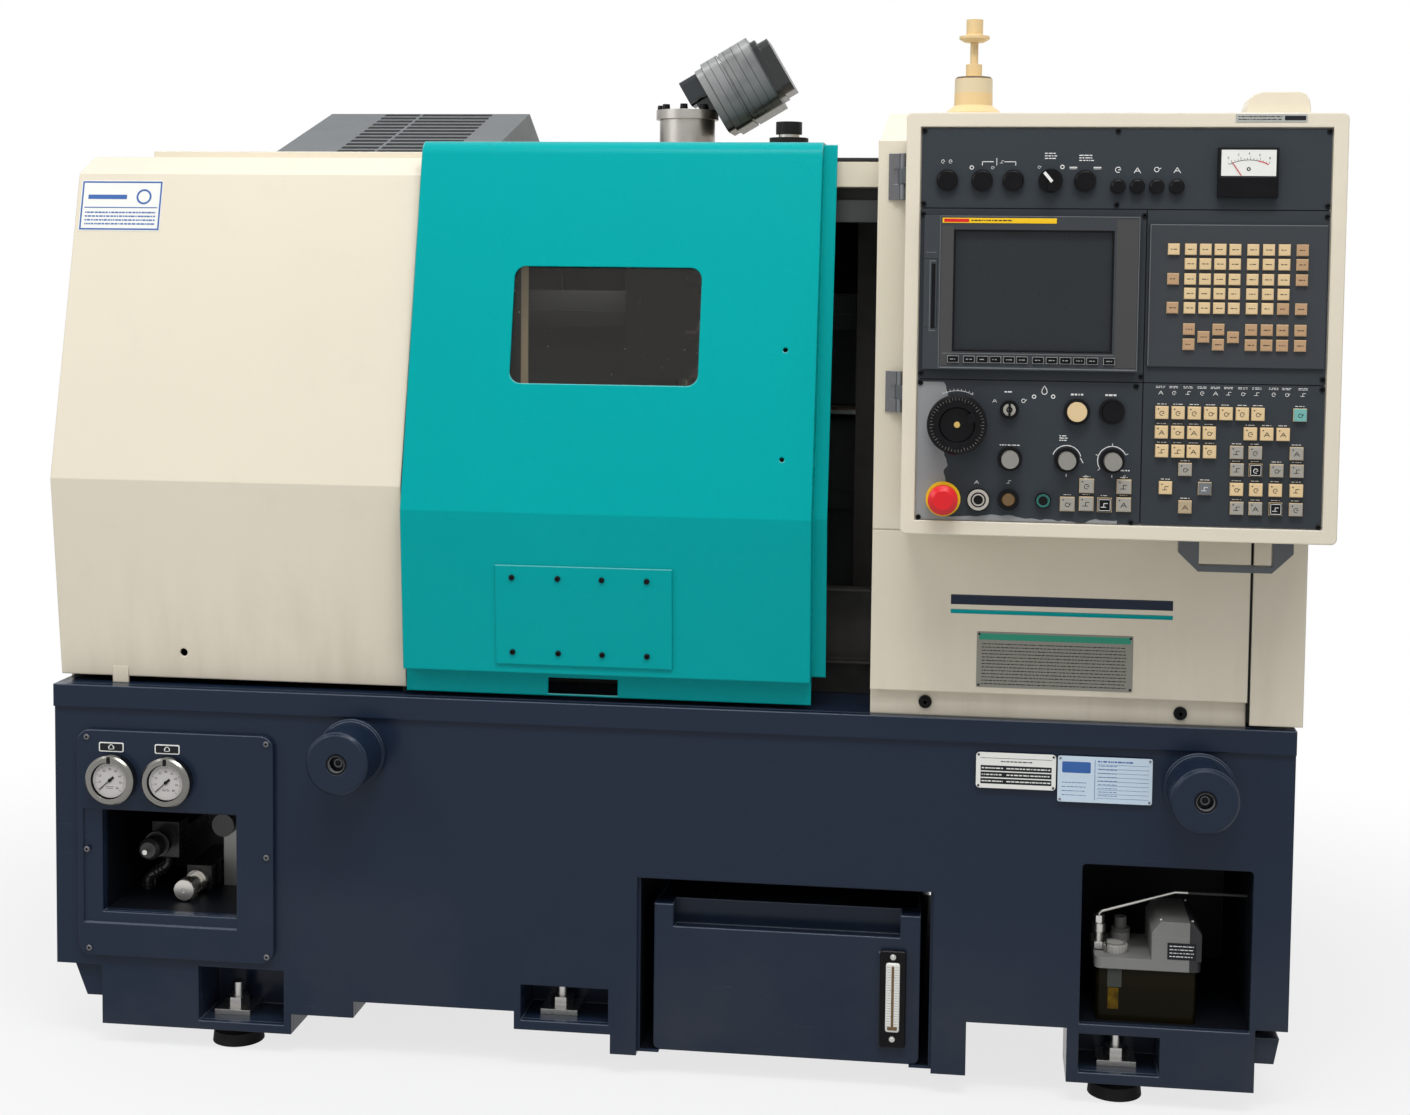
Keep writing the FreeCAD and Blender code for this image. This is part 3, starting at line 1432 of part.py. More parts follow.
# ----------------------------------------------------------------------------------------------
# Spindle, chuck and drive
# ----------------------------------------------------------------------------------------------
def make_headstock():
    """Headstock casting with its bore and foot, and the spindle in it."""
    body_y = (340, 610)
    body_z = (770, 1040)
    rib = 30
    head = join(
        "head_blocks",
        [
            block("head_body", (s.head_a, s.head_b), body_y, body_z),
            block("head_foot", (s.head_a, s.head_b), (body_y[0] - 10, body_y[1] + 40),
                  (s.base_top, s.base_top + 40)),
            block("head_rib_a", (s.head_a, s.head_a + rib), body_y, (s.base_top, body_z[0])),
            block("head_rib_b", (s.head_b - rib, s.head_b), body_y, (s.base_top, body_z[0])),
            block("head_web", (s.head_a, s.head_b), (460, 480), (s.base_top, body_z[0])),
        ],
    )
    bore = rod(
        "head_bore",
        (s.head_a - 1, s.spindle_y, s.spindle_z),
        s.spindle_r + s.bearing_gap,
        s.head_b - s.head_a + 2,
        "+x",
    )
    node("headstock", carve("head", head, [bore]))

    rear_cylinder = 90
    neck = 50
    neck_r = 45
    cylinder_r = 70
    pulley_start = rear_cylinder + neck
    pulley_end = pulley_start + s.pulley_wide
    total = s.nose_x - s.pulley_x + pulley_start
    outline = [
        (0, 0),
        (cylinder_r, 0),
        (cylinder_r, rear_cylinder),
        (neck_r, rear_cylinder),
        (neck_r, pulley_start),
        (s.pulley_r, pulley_start),
        (s.pulley_r, pulley_end),
        (s.spindle_r, pulley_end),
        (s.spindle_r, total),
        (0, total),
    ]
    start = (s.pulley_x - pulley_start, s.spindle_y, s.spindle_z)
    node("spindle", revolve("spindle_turned", outline, "+x", start))


def around_spindle(name, shapes, angle):
    """Shapes made about the spindle axis, turned about it."""
    return turned(name, shapes, (0, s.spindle_y, s.spindle_z), (1, 0, 0), angle)


def make_chuck():
    """Three-jaw chuck: the body with its slots, and the jaws."""
    face = s.nose_x + s.chuck_long
    floor = face - s.jaw_slot
    jaw_end = face + 43
    jaw_inner = 26
    jaw_outer = 74
    side_gap = 0.2
    centre_bore = 20
    cuts = [rod("chuck_bore", (s.nose_x + 1, s.spindle_y, s.spindle_z), centre_bore, s.chuck_long, "+x")]
    half = s.jaw_wide / 2
    for number in (1, 2, 3):
        angle = 120 * (number - 1)
        slot = block(
            f"jaw_slot_{number}",
            (floor, face + 1),
            (-half - side_gap, half + side_gap),
            (0, s.chuck_r + 2),
        )
        cuts.append(around_spindle(f"jaw_slot_turned_{number}", [slot], angle))
        root_jaw = block(f"jaw_root_{number}", (floor, face + 14), (-half, half), (jaw_inner, jaw_outer))
        step_jaw = block(
            f"jaw_step_{number}",
            (face + 14, jaw_end),
            (-half, half),
            (jaw_inner, (jaw_inner + jaw_outer) / 2),
        )
        jaw = join(f"jaw_steps_{number}", [root_jaw, step_jaw])
        node(f"chuck_jaw_{number}", around_spindle(f"jaw_turned_{number}", [jaw], angle))
    body = rod("chuck_disc", (s.nose_x, s.spindle_y, s.spindle_z), s.chuck_r, s.chuck_long, "+x")
    node("chuck_body", carve("chuck", body, cuts))


def loop_face(radius_a, radius_b, offset):
    """A face round two pulleys, their radii grown by an offset, with straight outer tangents."""
    ya, za = s.spindle_y.value, s.spindle_z.value
    yb, zb = s.spin_motor_y.value, s.spin_motor_z.value
    ra = radius_a + offset
    rb = radius_b + offset
    reach = math.hypot(yb - ya, zb - za)
    heading = math.atan2(zb - za, yb - ya)
    spread = math.acos((ra - rb) / reach)

    def at(y, z, radius, angle):
        return FreeCAD.Vector(0, y + radius * math.cos(angle), z + radius * math.sin(angle))

    upper_a = at(ya, za, ra, heading + spread)
    upper_b = at(yb, zb, rb, heading + spread)
    lower_a = at(ya, za, ra, heading - spread)
    lower_b = at(yb, zb, rb, heading - spread)
    edges = [
        Part.LineSegment(upper_a, upper_b).toShape(),
        Part.Arc(upper_b, at(yb, zb, rb, heading), lower_b).toShape(),
        Part.LineSegment(lower_b, lower_a).toShape(),
        Part.Arc(lower_a, at(ya, za, ra, heading + math.pi), upper_a).toShape(),
    ]
    return Part.Face(Part.Wire(edges))


def make_spindle_drive():
    """Spindle motor on its feet, its pulley, and the belt to the spindle."""
    belt_gap = 0.3
    belt_thick = 6
    belt_wide = 34
    ring = loop_face(s.pulley_r.value, s.motor_pulley_r.value, belt_gap + belt_thick)
    ring = ring.cut(loop_face(s.pulley_r.value, s.motor_pulley_r.value, belt_gap))
    belt = ring.extrude(FreeCAD.Vector(belt_wide, 0, 0))
    belt.translate(FreeCAD.Vector(s.pulley_x.value + 5, 0, 0))
    node("drive_belt", group("belt", [feature("belt_loop", belt)]))

    shaft_r = 19
    motor_a = s.pulley_x + s.pulley_wide + 16
    motor_long = 250
    shaft_in = 20
    motor = join(
        "spin_motor",
        [
            rod("spin_motor_body", (motor_a, s.spin_motor_y, s.spin_motor_z), s.spin_motor_r,
                motor_long, "+x"),
            block("spin_motor_foot", (motor_a + 20, motor_a + motor_long - 20),
                  (s.spin_motor_y - 70, s.spin_motor_y + 70), (s.base_top, s.spin_motor_z - 60)),
        ],
    )
    bore = rod(
        "spin_motor_bore",
        (motor_a - 1, s.spin_motor_y, s.spin_motor_z),
        shaft_r + s.bearing_gap,
        shaft_in + 2,
        "+x",
    )
    node("spindle_motor", carve("spin_motor_bored", motor, [bore]))
    shaft_end = s.pulley_wide + 16 + shaft_in
    outline = [
        (0, 0),
        (s.motor_pulley_r, 0),
        (s.motor_pulley_r, s.pulley_wide),
        (shaft_r, s.pulley_wide),
        (shaft_r, shaft_end),
        (0, shaft_end),
    ]
    start = (s.pulley_x, s.spin_motor_y, s.spin_motor_z)
    node("motor_pulley", revolve("motor_pulley_turned", outline, "+x", start))


# ----------------------------------------------------------------------------------------------
# Bed, slides and turret
# ----------------------------------------------------------------------------------------------
RAIL_HALF = 15
RAIL_HIGH = 20
SLIDE_GAP = 0.2


def make_bed():
    """Bed casting with its two guide rails and the bearings of the Z screw."""
    shape = [
        (s.bed_face_y, s.base_top),
        (s.bed_face_y, 1150),
        (s.bed_face_y + 140, 1150),
        (1000, 980),
        (1060, s.base_top),
    ]
    x = (s.bed_a, s.bed_b)
    rails_y = (s.bed_face_y - RAIL_HIGH, s.bed_face_y)
    bearing_z = (s.z_screw_z - 25, s.z_screw_z + 25)
    bearing_y = (s.bed_face_y - 38, s.bed_face_y)
    casting = profile("bed_casting", shape, x)
    parts = [
        casting,
        block("rail_low", x, rails_y, (s.guide_low_z - RAIL_HALF, s.guide_low_z + RAIL_HALF)),
        block("rail_high", x, rails_y, (s.guide_high_z - RAIL_HALF, s.guide_high_z + RAIL_HALF)),
        block("bearing_left", (s.bed_a, s.bed_a + 28), bearing_y, bearing_z),
        block("bearing_right", (s.bed_b - 40, s.bed_b), bearing_y, bearing_z),
    ]
    bore = rod(
        "z_screw_bore",
        (s.bed_a - 1, s.z_screw_y, s.z_screw_z),
        s.z_screw_r + s.screw_gap,
        s.bed_b - s.bed_a + 2,
        "+x",
    )
    node("machine_bed", carve("bed", join("bed_parts", parts), [bore]))
    screw = rod("z_screw_rod", (s.bed_a + 2, s.z_screw_y, s.z_screw_z), s.z_screw_r,
                s.bed_b - s.bed_a - 4, "+x")
    node("z_screw", screw)


UPRIGHT_RAILS = (-120, 120)
UPRIGHT_HALF = 10
SADDLE_FRONT = 684
SADDLE_BACK = 720
SADDLE_TOP = 1280


def make_saddle():
    """Saddle on the bed's rails with upright rails and the bracket of the X drive."""
    carriage_x = ((-150, -90), (90, 150))
    carriage_half = 36
    shoe_back = s.bed_face_y - 2
    parts = [
        block("saddle_plate", (-150, 150), (SADDLE_FRONT, SADDLE_BACK), (740, SADDLE_TOP)),
        block("z_nut", (-35, 35), (SADDLE_BACK, shoe_back), (s.z_screw_z - 25, s.z_screw_z + 25)),
        block("x_bracket", (-115, 30), (565, SADDLE_BACK), (SADDLE_TOP, SADDLE_TOP + 30)),
    ]
    for side, x in zip("ab", carriage_x):
        for level, z in (("low", s.guide_low_z), ("high", s.guide_high_z)):
            shoe = (z - carriage_half, z + carriage_half)
            parts.append(block(f"shoe_{level}_{side}", x, (SADDLE_BACK, shoe_back), shoe))
    for side, x in zip("ab", UPRIGHT_RAILS):
        upright = (x - UPRIGHT_HALF, x + UPRIGHT_HALF)
        parts.append(
            block(f"upright_{side}", upright, (SADDLE_FRONT - RAIL_HIGH, SADDLE_FRONT), (880, SADDLE_TOP))
        )
    cuts = [
        rod("z_nut_bore", (-60, s.z_screw_y, s.z_screw_z), s.z_screw_r + s.screw_gap, 120, "+x"),
        rod("x_bracket_bore", (s.x_axis_x, s.x_axis_y, SADDLE_TOP - 1), s.x_screw_r + s.screw_gap, 40),
    ]
    for level, z in (("low", s.guide_low_z), ("high", s.guide_high_z)):
        groove = (z - RAIL_HALF - SLIDE_GAP, z + RAIL_HALF + SLIDE_GAP)
        front = s.bed_face_y - RAIL_HIGH - SLIDE_GAP
        cuts.append(block(f"groove_{level}", (-151, 151), (front, s.bed_face_y), groove))
    node("saddle", carve("saddle_cut", join("saddle_parts", parts), cuts))

    tube_low = SADDLE_TOP + 30
    screw_clear = s.x_screw_r + 4
    housing = join(
        "housing",
        [
            rod("housing_tube", (s.x_axis_x, s.x_axis_y, tube_low), s.tube_r, s.tube_flange_z - tube_low),
            rod("housing_flange", (s.x_axis_x, s.x_axis_y, s.tube_flange_z), s.tube_flange_r,
                s.tube_top - s.tube_flange_z),
        ],
    )
    hollow = rod("housing_bore", (s.x_axis_x, s.x_axis_y, tube_low - 1), screw_clear,
                 s.tube_flange_z - tube_low)
    node("x_screw_housing", carve("housing_bored", housing, [hollow]))
    screw_low = 860
    screw = rod("x_screw_rod", (s.x_axis_x, s.x_axis_y, screw_low), s.x_screw_r,
                s.tube_flange_z - screw_low - 4)
    node("x_screw", screw)


def servo_section(name, x, half, radius, z=None):
    """A length of the servo motor with rounded edges, square about its axis unless z says otherwise."""
    half = size(half)
    body = new_body(name)
    sketch = new_sketch(body, name + "_outline", "YZ_Plane", x[0])
    draw_rectangle(sketch, (-half, half), z or (-half, half))
    pad(body, sketch, size(x[1]) - x[0])
    round_edges(body, radius, edge_along("x"))
    return body


def make_x_motor():
    """Servo motor of the X drive: stepped body, end cover, connector end and its foot on the flange."""
    half = s.servo_half
    front = -58
    rim = front + 14
    groove = -12
    groove_end = groove + 3
    neck_end = s.servo_rear + 11
    cover_end = neck_end + 19
    sections = [
        servo_section("servo_connector", (front - 35, front), 30, 8, (14, 60)),
        servo_section("servo_front", (front, rim), half - 5, 18),
        servo_section("servo_body_a", (rim, groove), half, 20),
        servo_section("servo_groove", (groove, groove_end), half - 3, 18),
        servo_section("servo_body_b", (groove_end, s.servo_rear), half, 20),
        servo_section("servo_neck", (s.servo_rear, neck_end), half - 10, 16),
        servo_section("servo_cover", (neck_end, cover_end), 52, 16, (-52, 47)),
    ]
    foot = block("servo_foot", (front - 26, front), (-25, 25), (-50, 14))
    tilted = []
    for name, shapes in (("servo_tilted", sections), ("servo_foot_tilted", [foot])):
        part = turned(name, shapes, (s.servo_x, s.x_axis_y, s.servo_z), (0, 1, 0), -s.servo_tilt.value)
        part.setExpression("Placement.Rotation.Angle", "Sizes.servo_tilt * 1 deg")
        part.setExpression("Placement.Rotation.Axis.y", "-1")
        tilted.append(part)
    seat_cut = rod("servo_seat", (s.x_axis_x, s.x_axis_y, s.roof_top), s.tube_flange_r + 40,
                   s.tube_top - s.roof_top)
    node("x_motor", group("servo", [tilted[0], carve("servo_seated", tilted[1], [seat_cut])]))


def make_cross_slide():
    """Vertical slide with the turret head, and the turret disc with its holders."""
    slide_z = (1000, 1230)
    plate_y = (602, 648)
    head_x = s.turret_x + s.turret_thick
    head_half = 65
    parts = [
        block("cross_plate", (-145, 200), plate_y, slide_z),
        block("turret_head", (head_x, 200), (400, plate_y[0]),
              (s.turret_z - head_half, s.turret_z + head_half)),
    ]
    cuts = [
        rod("x_nut_bore", (s.x_axis_x, s.x_axis_y, slide_z[0] - 1), s.x_screw_r + s.screw_gap, 240),
    ]
    for side, x in zip("ab", UPRIGHT_RAILS):
        parts.append(block(f"cross_shoe_{side}", (x - 25, x + 25), (plate_y[1], SADDLE_FRONT - 2), slide_z))
        groove = (x - UPRIGHT_HALF - SLIDE_GAP, x + UPRIGHT_HALF + SLIDE_GAP)
        front = SADDLE_FRONT - RAIL_HIGH - SLIDE_GAP
        cuts.append(block(f"cross_groove_{side}", groove, (front, SADDLE_FRONT),
                          (slide_z[0] - 1, slide_z[1] + 1)))
    shaft_r = 25
    shaft_long = 40
    shaft_y = s.spindle_y
    cuts.append(rod("turret_bore", (head_x - 1, shaft_y, s.turret_z), shaft_r + s.bearing_gap,
                    shaft_long + 3, "+x"))
    node("cross_slide", carve("cross", join("cross_parts", parts), cuts))

    disc = doc.addObject("Part::Prism", "turret_prism")
    disc.Polygon = 8
    disc.Placement = FreeCAD.Placement(FreeCAD.Vector(), AXIS_TURNS["+x"])
    bind(disc, "Circumradius", s.turret_r)
    bind(disc, "Height", s.turret_thick)
    seat(disc, s.turret_x, 0, 0)
    holders = [disc, rod("turret_shaft", (head_x, 0, 0), shaft_r, shaft_long, "+x")]
    half = 13
    for number in range(int(s.tool_count.value)):
        angle = 360 / s.tool_count.value * (number + 0.5)
        reach = s.turret_r * 0.88
        holder = block(f"holder_{number}", (s.turret_x - 6, s.turret_x + 34), (-half, half),
                       (reach, s.turret_r + s.tool_reach))
        bit = block(f"bit_{number}", (s.turret_x - 26, s.turret_x - 6), (-6, 6),
                    (s.turret_r + s.tool_reach - 18, s.turret_r + s.tool_reach - 4))
        holders.append(turned(f"station_{number}", [join(f"tool_{number}", [holder, bit])],
                              (0, 0, 0), (1, 0, 0), angle))
    turret = join("turret", holders)
    node("turret_disc", turned("turret_seated", [turret], (0, s.spindle_y, s.turret_z), (1, 0, 0), 0))


# ----------------------------------------------------------------------------------------------
# Control box
# ----------------------------------------------------------------------------------------------
def make_box_shell():
    """Hollow box with a stepped front opening, a raised lamp base on its top and the panels."""
    wall = 4
    step = 9
    frame_back = s.box_front + step
    x = (s.box_a, s.box_b)
    z = (s.box_bottom, s.box_top)
    opening_x = (s.box_a + s.frame_wide, s.box_b - s.frame_wide)
    opening_z = (s.box_bottom + s.frame_wide, s.box_top - s.frame_wide)
    seat_y = s.panel_y + s.panel_thick
    ledge = 8
    shell = carve(
        "box_shell_cut",
        rounded_block("box_outer", x, (s.box_front, s.box_back), z, 8),
        [
            block("box_cavity", (x[0] + wall, x[1] - wall), (frame_back, s.box_back - wall),
                  (z[0] + wall, z[1] - wall)),
            block("box_opening", opening_x, (s.box_front - 1, seat_y), opening_z),
            block("box_inner_opening", (opening_x[0] + ledge, opening_x[1] - ledge),
                  (seat_y - 1, frame_back + 1), (opening_z[0] + ledge, opening_z[1] - ledge)),
        ],
    )
    bars = [
        block("box_bar_high", (x[0] + wall, x[1] - wall), (seat_y, seat_y + 4),
              (s.panel_split_high - 12, s.panel_split_high + 12)),
        block("box_bar_low", (x[0] + wall, x[1] - wall), (seat_y, seat_y + 4),
              (s.panel_split_low - 12, s.panel_split_low + 12)),
        block("box_bar_upright", (s.panel_split_x - 12, s.panel_split_x + 12), (seat_y, seat_y + 4),
              (z[0] + wall, s.panel_split_high)),
    ]
    bump = new_body("box_bump")
    outline = new_sketch(bump, "box_bump_outline", "XZ_Plane", 60)
    draw_outline(
        outline,
        [
            (808, s.box_top),
            (809, s.box_top + 10),
            (813, s.box_top + 21),
            (820, s.box_top + 28),
            (830, s.box_top + 31),
            (876, s.box_top + 31),
            (885, s.box_top + 28),
            (890, s.box_top + 20),
            (892, s.box_top + 10),
            (892, s.box_top),
        ],
    )
    pad(bump, outline, 50)
    node("box_shell", join("box_parts", [shell, bump] + bars))

    gap = s.panel_gap
    left = opening_x[0] + gap
    right = opening_x[1] - gap
    bottom = opening_z[0] + gap
    top = opening_z[1] - gap
    half = gap / 2
    plate_y = (s.panel_y, seat_y)
    split_x = s.panel_split_x
    high = s.panel_split_high
    low = s.panel_split_low
    plates = [
        block("plate_top", (left, right), plate_y, (high + half, top)),
        block("plate_display", (left, split_x - half), plate_y, (low + half, high - half)),
        block("plate_keys", (split_x + half, right), plate_y, (low + half, high - half)),
        block("plate_wheel", (left, split_x - half), plate_y, (bottom, low - half)),
        block("plate_modes", (split_x + half, right), plate_y, (bottom, low - half)),
    ]
    node("panel_plates", group("plates", plates))


def make_display():
    """Display unit with its card door, and the frame of the keyboard."""
    front = s.panel_y - s.display_proud
    knuckle = 1.5
    door_x = (s.display_a + 2, 406)
    door_z = (1117, 1208)
    door_deep = 2 * knuckle
    unit = carve(
        "display_cut",
        block("display_body", (s.display_a, s.display_b), (front, s.panel_y),
              (s.display_bottom, s.display_top)),
        [
            block("screen_recess", (s.screen_a, s.screen_b), (front - 1, front + s.screen_deep),
                  (s.screen_bottom, s.screen_top)),
            block("card_recess", (s.display_a - 1, door_x[1] + 0.5), (front - 1, front + door_deep),
                  (door_z[0] - 0.5, door_z[1] + 0.5)),
        ],
    )
    keyboard = block("keyboard_frame", (684, 912), (s.panel_y - 4, s.panel_y), (1069, 1257))
    node("display_unit", group("display_parts", [unit, keyboard]))
    flap = [
        block("card_flap", door_x, (front, front + door_deep), door_z),
        rod("card_knuckle", (door_x[0], front + knuckle, door_z[0]), knuckle, door_z[1] - door_z[0]),
    ]
    node("card_door", join("card_parts", flap))


def make_keys():
    """Caps of the keyboard, the soft keys and the square keys on the lower panels."""
    caps = []

    def row_of_caps(z, row, face, wide, high, proud):
        for x in row:
            number = len(caps)
            caps.append(
                block(f"cap_{number}", (x - wide / 2, x + wide / 2), (face - proud, face),
                      (z - high / 2, z + high / 2))
            )

    keyboard_face = s.panel_y - 4
    columns = (715, 737, 756, 775, 794, 817, 837, 857, 880)
    keyboard_rows = [
        (1224, columns),
        (1205, columns[1:]),
        (1185, columns),
        (1166, columns[1:-1]),
        (1147, columns),
        (1119, [columns[index] for index in (1, 3, 5, 6, 7, 8)]),
        (1109, [columns[index] for index in (2, 4)]),
        (1099, [columns[index] for index in (1, 3, 5, 6, 7, 8)]),
    ]
    for z, row in keyboard_rows:
        row_of_caps(z, row, keyboard_face, 15, 15, 3)
    soft_keys = (429, 450, 468, 485, 503, 520, 541, 559, 577, 595, 612, 634)
    row_of_caps(1075, soft_keys, s.panel_y - s.display_proud, 15, 9, 2)
    square_rows = [
        (883, (584, 633)),
        (884, (609, 658)),
        (908, (609, 658)),
    ]
    for z, row in square_rows:
        row_of_caps(z, row, s.panel_y, 19, 19, 5)
    mode_rows = [
        (1008, (705, 726, 747, 768, 788, 809, 829, 883)),
        (982, (705, 726, 747, 767, 820, 841, 862)),
        (957, (706, 727, 747, 768, 803, 827, 880)),
        (934, (804, 828, 855, 881)),
        (933, (737,)),
        (908, (712, 763, 804, 829, 854, 881)),
        (883, (738, 805, 829, 855, 881)),
    ]
    for z, row in mode_rows:
        row_of_caps(z, row, s.panel_y, 17, 17, 5)
    node("panel_keys", group("caps", caps))


def make_controls():
    """Fixed fittings on the panels, and the parts that turn or are pressed."""
    face = s.panel_y
    fixed = []
    dials = (1313, 1306)
    for number, x in enumerate((417, 463, 504, 598)):
        fixed.append(rod(f"plug_{number}", (x, face, dials[0]), 14.5, 7, "-y"))
    for number, x in enumerate((641, 666, 691, 717)):
        fixed.append(rod(f"toggle_{number}", (x, face, dials[1]), 10, 8, "-y"))
    fixed.append(block("load_meter", (769, 846), (face - 12, face), (1292, 1357)))
    for number, (x, z, radius) in enumerate(((466, 886, 15), (506, 887, 14), (552, 887, 10))):
        fixed.append(rod(f"lamp_{number}", (x, face, z), radius, 7, "-y"))
    stem_gap = 0.3
    collars = []
    for name, x, z, outer, bore in (
        ("white", 594, 1007, 17.5, 13),
        ("black", 640, 1008, 17, 13),
        ("stop", s.stop_x, s.stop_z, 22, 9),
    ):
        collars.append(
            carve(
                f"collar_{name}",
                rod(f"collar_outer_{name}", (x, face, z), outer, 8, "-y"),
                [rod(f"collar_bore_{name}", (x, face + 1, z), bore + stem_gap, 10, "-y")],
            )
        )
    collar_long = 5
    knob_x = (507, 582, 642)
    for number, x in enumerate(knob_x):
        collars.append(rod(f"collar_knob_{number}", (x, face, s.knob_z), s.knob_r + 5, collar_long, "-y"))
    node("panel_fittings", group("fittings", fixed + collars))

    press = 6
    for name, x, z in (("white_button", 594, 1007), ("black_button", 640, 1008)):
        node(name, rod(name + "_cap", (x, face - press, z), 13, 8, "-y"))
    stop_head = 14
    stop = join(
        "stop_parts",
        [
            rod("stop_stem", (s.stop_x, face - press, s.stop_z), 9, stop_head, "-y"),
            rod("stop_rim", (s.stop_x, face - stop_head, s.stop_z), s.stop_r, 10, "-y"),
            taper("stop_crown", (s.stop_x, face - stop_head - 10, s.stop_z), s.stop_r, s.stop_r - 7, 6, "-y"),
        ],
    )
    node("emergency_stop", stop)
    for number, x in enumerate(knob_x, start=1):
        start = (x, face - collar_long, s.knob_z)
        node(f"override_knob_{number}", rod(f"knob_body_{number}", start, s.knob_r, s.knob_long, "-y"))
    selector_x = 553
    selector = join(
        "selector_parts",
        [
            rod("selector_disc", (selector_x, face, dials[0]), 16, 8, "-y"),
            block("selector_bar", (selector_x - 4, selector_x + 4), (face - 20, face - 4),
                  (dials[0] - 14, dials[0] + 14)),
        ],
    )
    node("mode_selector", selector)
    key_x = 505
    key_z = 1008
    key = join(
        "key_parts",
        [
            rod("key_disc", (key_x, face, key_z), 12.5, 8, "-y"),
            block("key_blade", (key_x - 1.5, key_x + 1.5), (face - 26, face - 6), (key_z - 9, key_z + 9)),
        ],
    )
    node("key_switch", key)
    rim = 8
    wheel = revolve(
        "wheel_turned",
        [
            (0, 0),
            (s.wheel_r - 4, 0),
            (s.wheel_r - 4, 10),
            (s.wheel_r, 10),
            (s.wheel_r, s.wheel_long - 3),
            (s.wheel_r - 3, s.wheel_long),
            (s.wheel_r - rim - 8, s.wheel_long),
            (s.wheel_r - rim - 10, s.wheel_long - 6),
            (0, s.wheel_long - 6),
        ],
        "-y",
        (s.wheel_x, face, s.wheel_z),
    )
    grip_out = 15
    grip = rod("wheel_grip", (s.wheel_x + 19, face - s.wheel_long + 6, s.wheel_z + 10), 6,
               grip_out + 4, "-y")
    node("handwheel", join("wheel_parts", [wheel, grip]))


def make_box_hardware():
    """Handle under the box, the box's hinge halves and the hinge halves on the right cover."""
    handle = new_body("box_handle")
    outline = new_sketch(handle, "handle_outline", "XZ_Plane", 72)
    handle_bottom = 788
    bar_top = 797
    draw_outline(
        outline,
        [
            (738, s.box_bottom),
            (738, 813),
            (764, handle_bottom),
            (862, handle_bottom),
            (890, 815),
            (890, s.box_bottom),
            (863, s.box_bottom),
            (863, bar_top),
            (765, bar_top),
            (765, s.box_bottom),
        ],
    )
    pad(handle, outline, 15)
    fixed = []
    swinging = [handle]
    gap = 0.06
    pin_r = 3
    for level, low, high in (("low", 992, 1050), ("high", 1292, 1357)):
        third = (high - low) / 3
        middle = (low + third, high - third)
        knuckle = join(
            f"knuckle_{level}",
            [
                rod(f"knuckle_round_{level}", (s.pivot_x, s.pivot_y, middle[0]), s.pivot_r, third),
                block(f"knuckle_leaf_{level}", (s.pivot_x, s.box_a), (s.pivot_y - 40, s.pivot_y),
                      middle),
            ],
        )
        clear = rod(f"knuckle_bore_{level}", (s.pivot_x, s.pivot_y, low), pin_r + gap, high - low)
        swinging.append(carve(f"knuckle_bored_{level}", knuckle, [clear]))
        leaf_bits = [rod(f"hinge_pin_{level}", (s.pivot_x, s.pivot_y, low), pin_r, high - low)]
        for end, start in (("a", low), ("b", high - third)):
            leaf_bits.append(
                rod(f"hinge_round_{level}_{end}", (s.pivot_x, s.pivot_y, start), s.pivot_r - 0.5, third - 0.3)
            )
            leaf_bits.append(
                block(f"hinge_arm_{level}_{end}", (s.pivot_x - 14, s.pivot_x), (s.pivot_y, s.pivot_y + 6),
                      (start, start + third - 0.3))
            )
        leaf_bits.append(block(f"hinge_leaf_{level}", (333, s.pivot_x - 7), (-3, 0), (low, high)))
        fixed.append(join(f"hinge_{level}", leaf_bits))
    node("box_hardware", group("hardware", swinging))
    node("box_hinges", group("hinges", fixed))

    lamp = revolve(
        "lamp_turned",
        [
            (0, 0),
            (39, 0),
            (39, 4),
            (26, 14),
            (25.5, 50),
            (23, 53),
            (11, 53),
            (11, 70),
            (5.5, 70),
            (5.5, 100),
            (13, 100),
            (20.5, 104),
            (20.5, 108),
            (11.3, 110),
            (11.3, 130.5),
            (0, 130.5),
        ],
        "+z",
        (s.lamp_x, s.lamp_y, s.box_top),
    )
    node("lamp_base", lamp)


def rounded_block(name, x, y, z, radius):
    """A block with its four edges along Y rounded."""
    body = new_body(name)
    outline = new_sketch(body, name + "_outline", "XZ_Plane", -size(y[1]))
    draw_rectangle(outline, x, z)
    pad(body, outline, size(y[1]) - y[0])
    round_edges(body, radius, edge_along("y"))
    return body


# ----------------------------------------------------------------------------------------------
# Build, check and write
# ----------------------------------------------------------------------------------------------
def main():
    make_base_front()
    make_base_deck()
    make_base_walls()
    make_base_legs()
    make_levelling()
    make_lifting_bosses()
    make_gauge_panel()
    make_hydraulic_valves()
    make_lubricator()
    make_left_cover()
    make_roof()
    make_right_covers()
    make_work_area()
    make_door()
    make_tank()
    make_headstock()
    make_chuck()
    make_spindle_drive()
    make_bed()
    make_saddle()
    make_x_motor()
    make_cross_slide()
    make_box_shell()
    make_display()
    make_keys()
    make_controls()
    make_box_hardware()
    doc.recompute()

    for obj in doc.Objects:
        bad = [state for state in obj.State if state in ("Invalid", "Error")]
        if bad:
            raise RuntimeError(f"{obj.Name} is {bad}")
    os.makedirs("parts", exist_ok=True)
    bounds = FreeCAD.BoundBox()
    for obj in NODES:
        shape = obj.Shape
        if shape.isNull() or not shape.isValid() or not shape.Solids:
            raise RuntimeError(f"{obj.Label} has no valid solid")
        shape.exportStep(f"parts/{obj.Label}.step")
        bounds.add(shape.BoundBox)
    print(len(NODES), "nodes", bounds)


main()
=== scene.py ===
"""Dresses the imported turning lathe: materials, fine pieces, light and camera."""

import functools
import math
import random

import bmesh
import bpy
from mathutils import Matrix, Vector


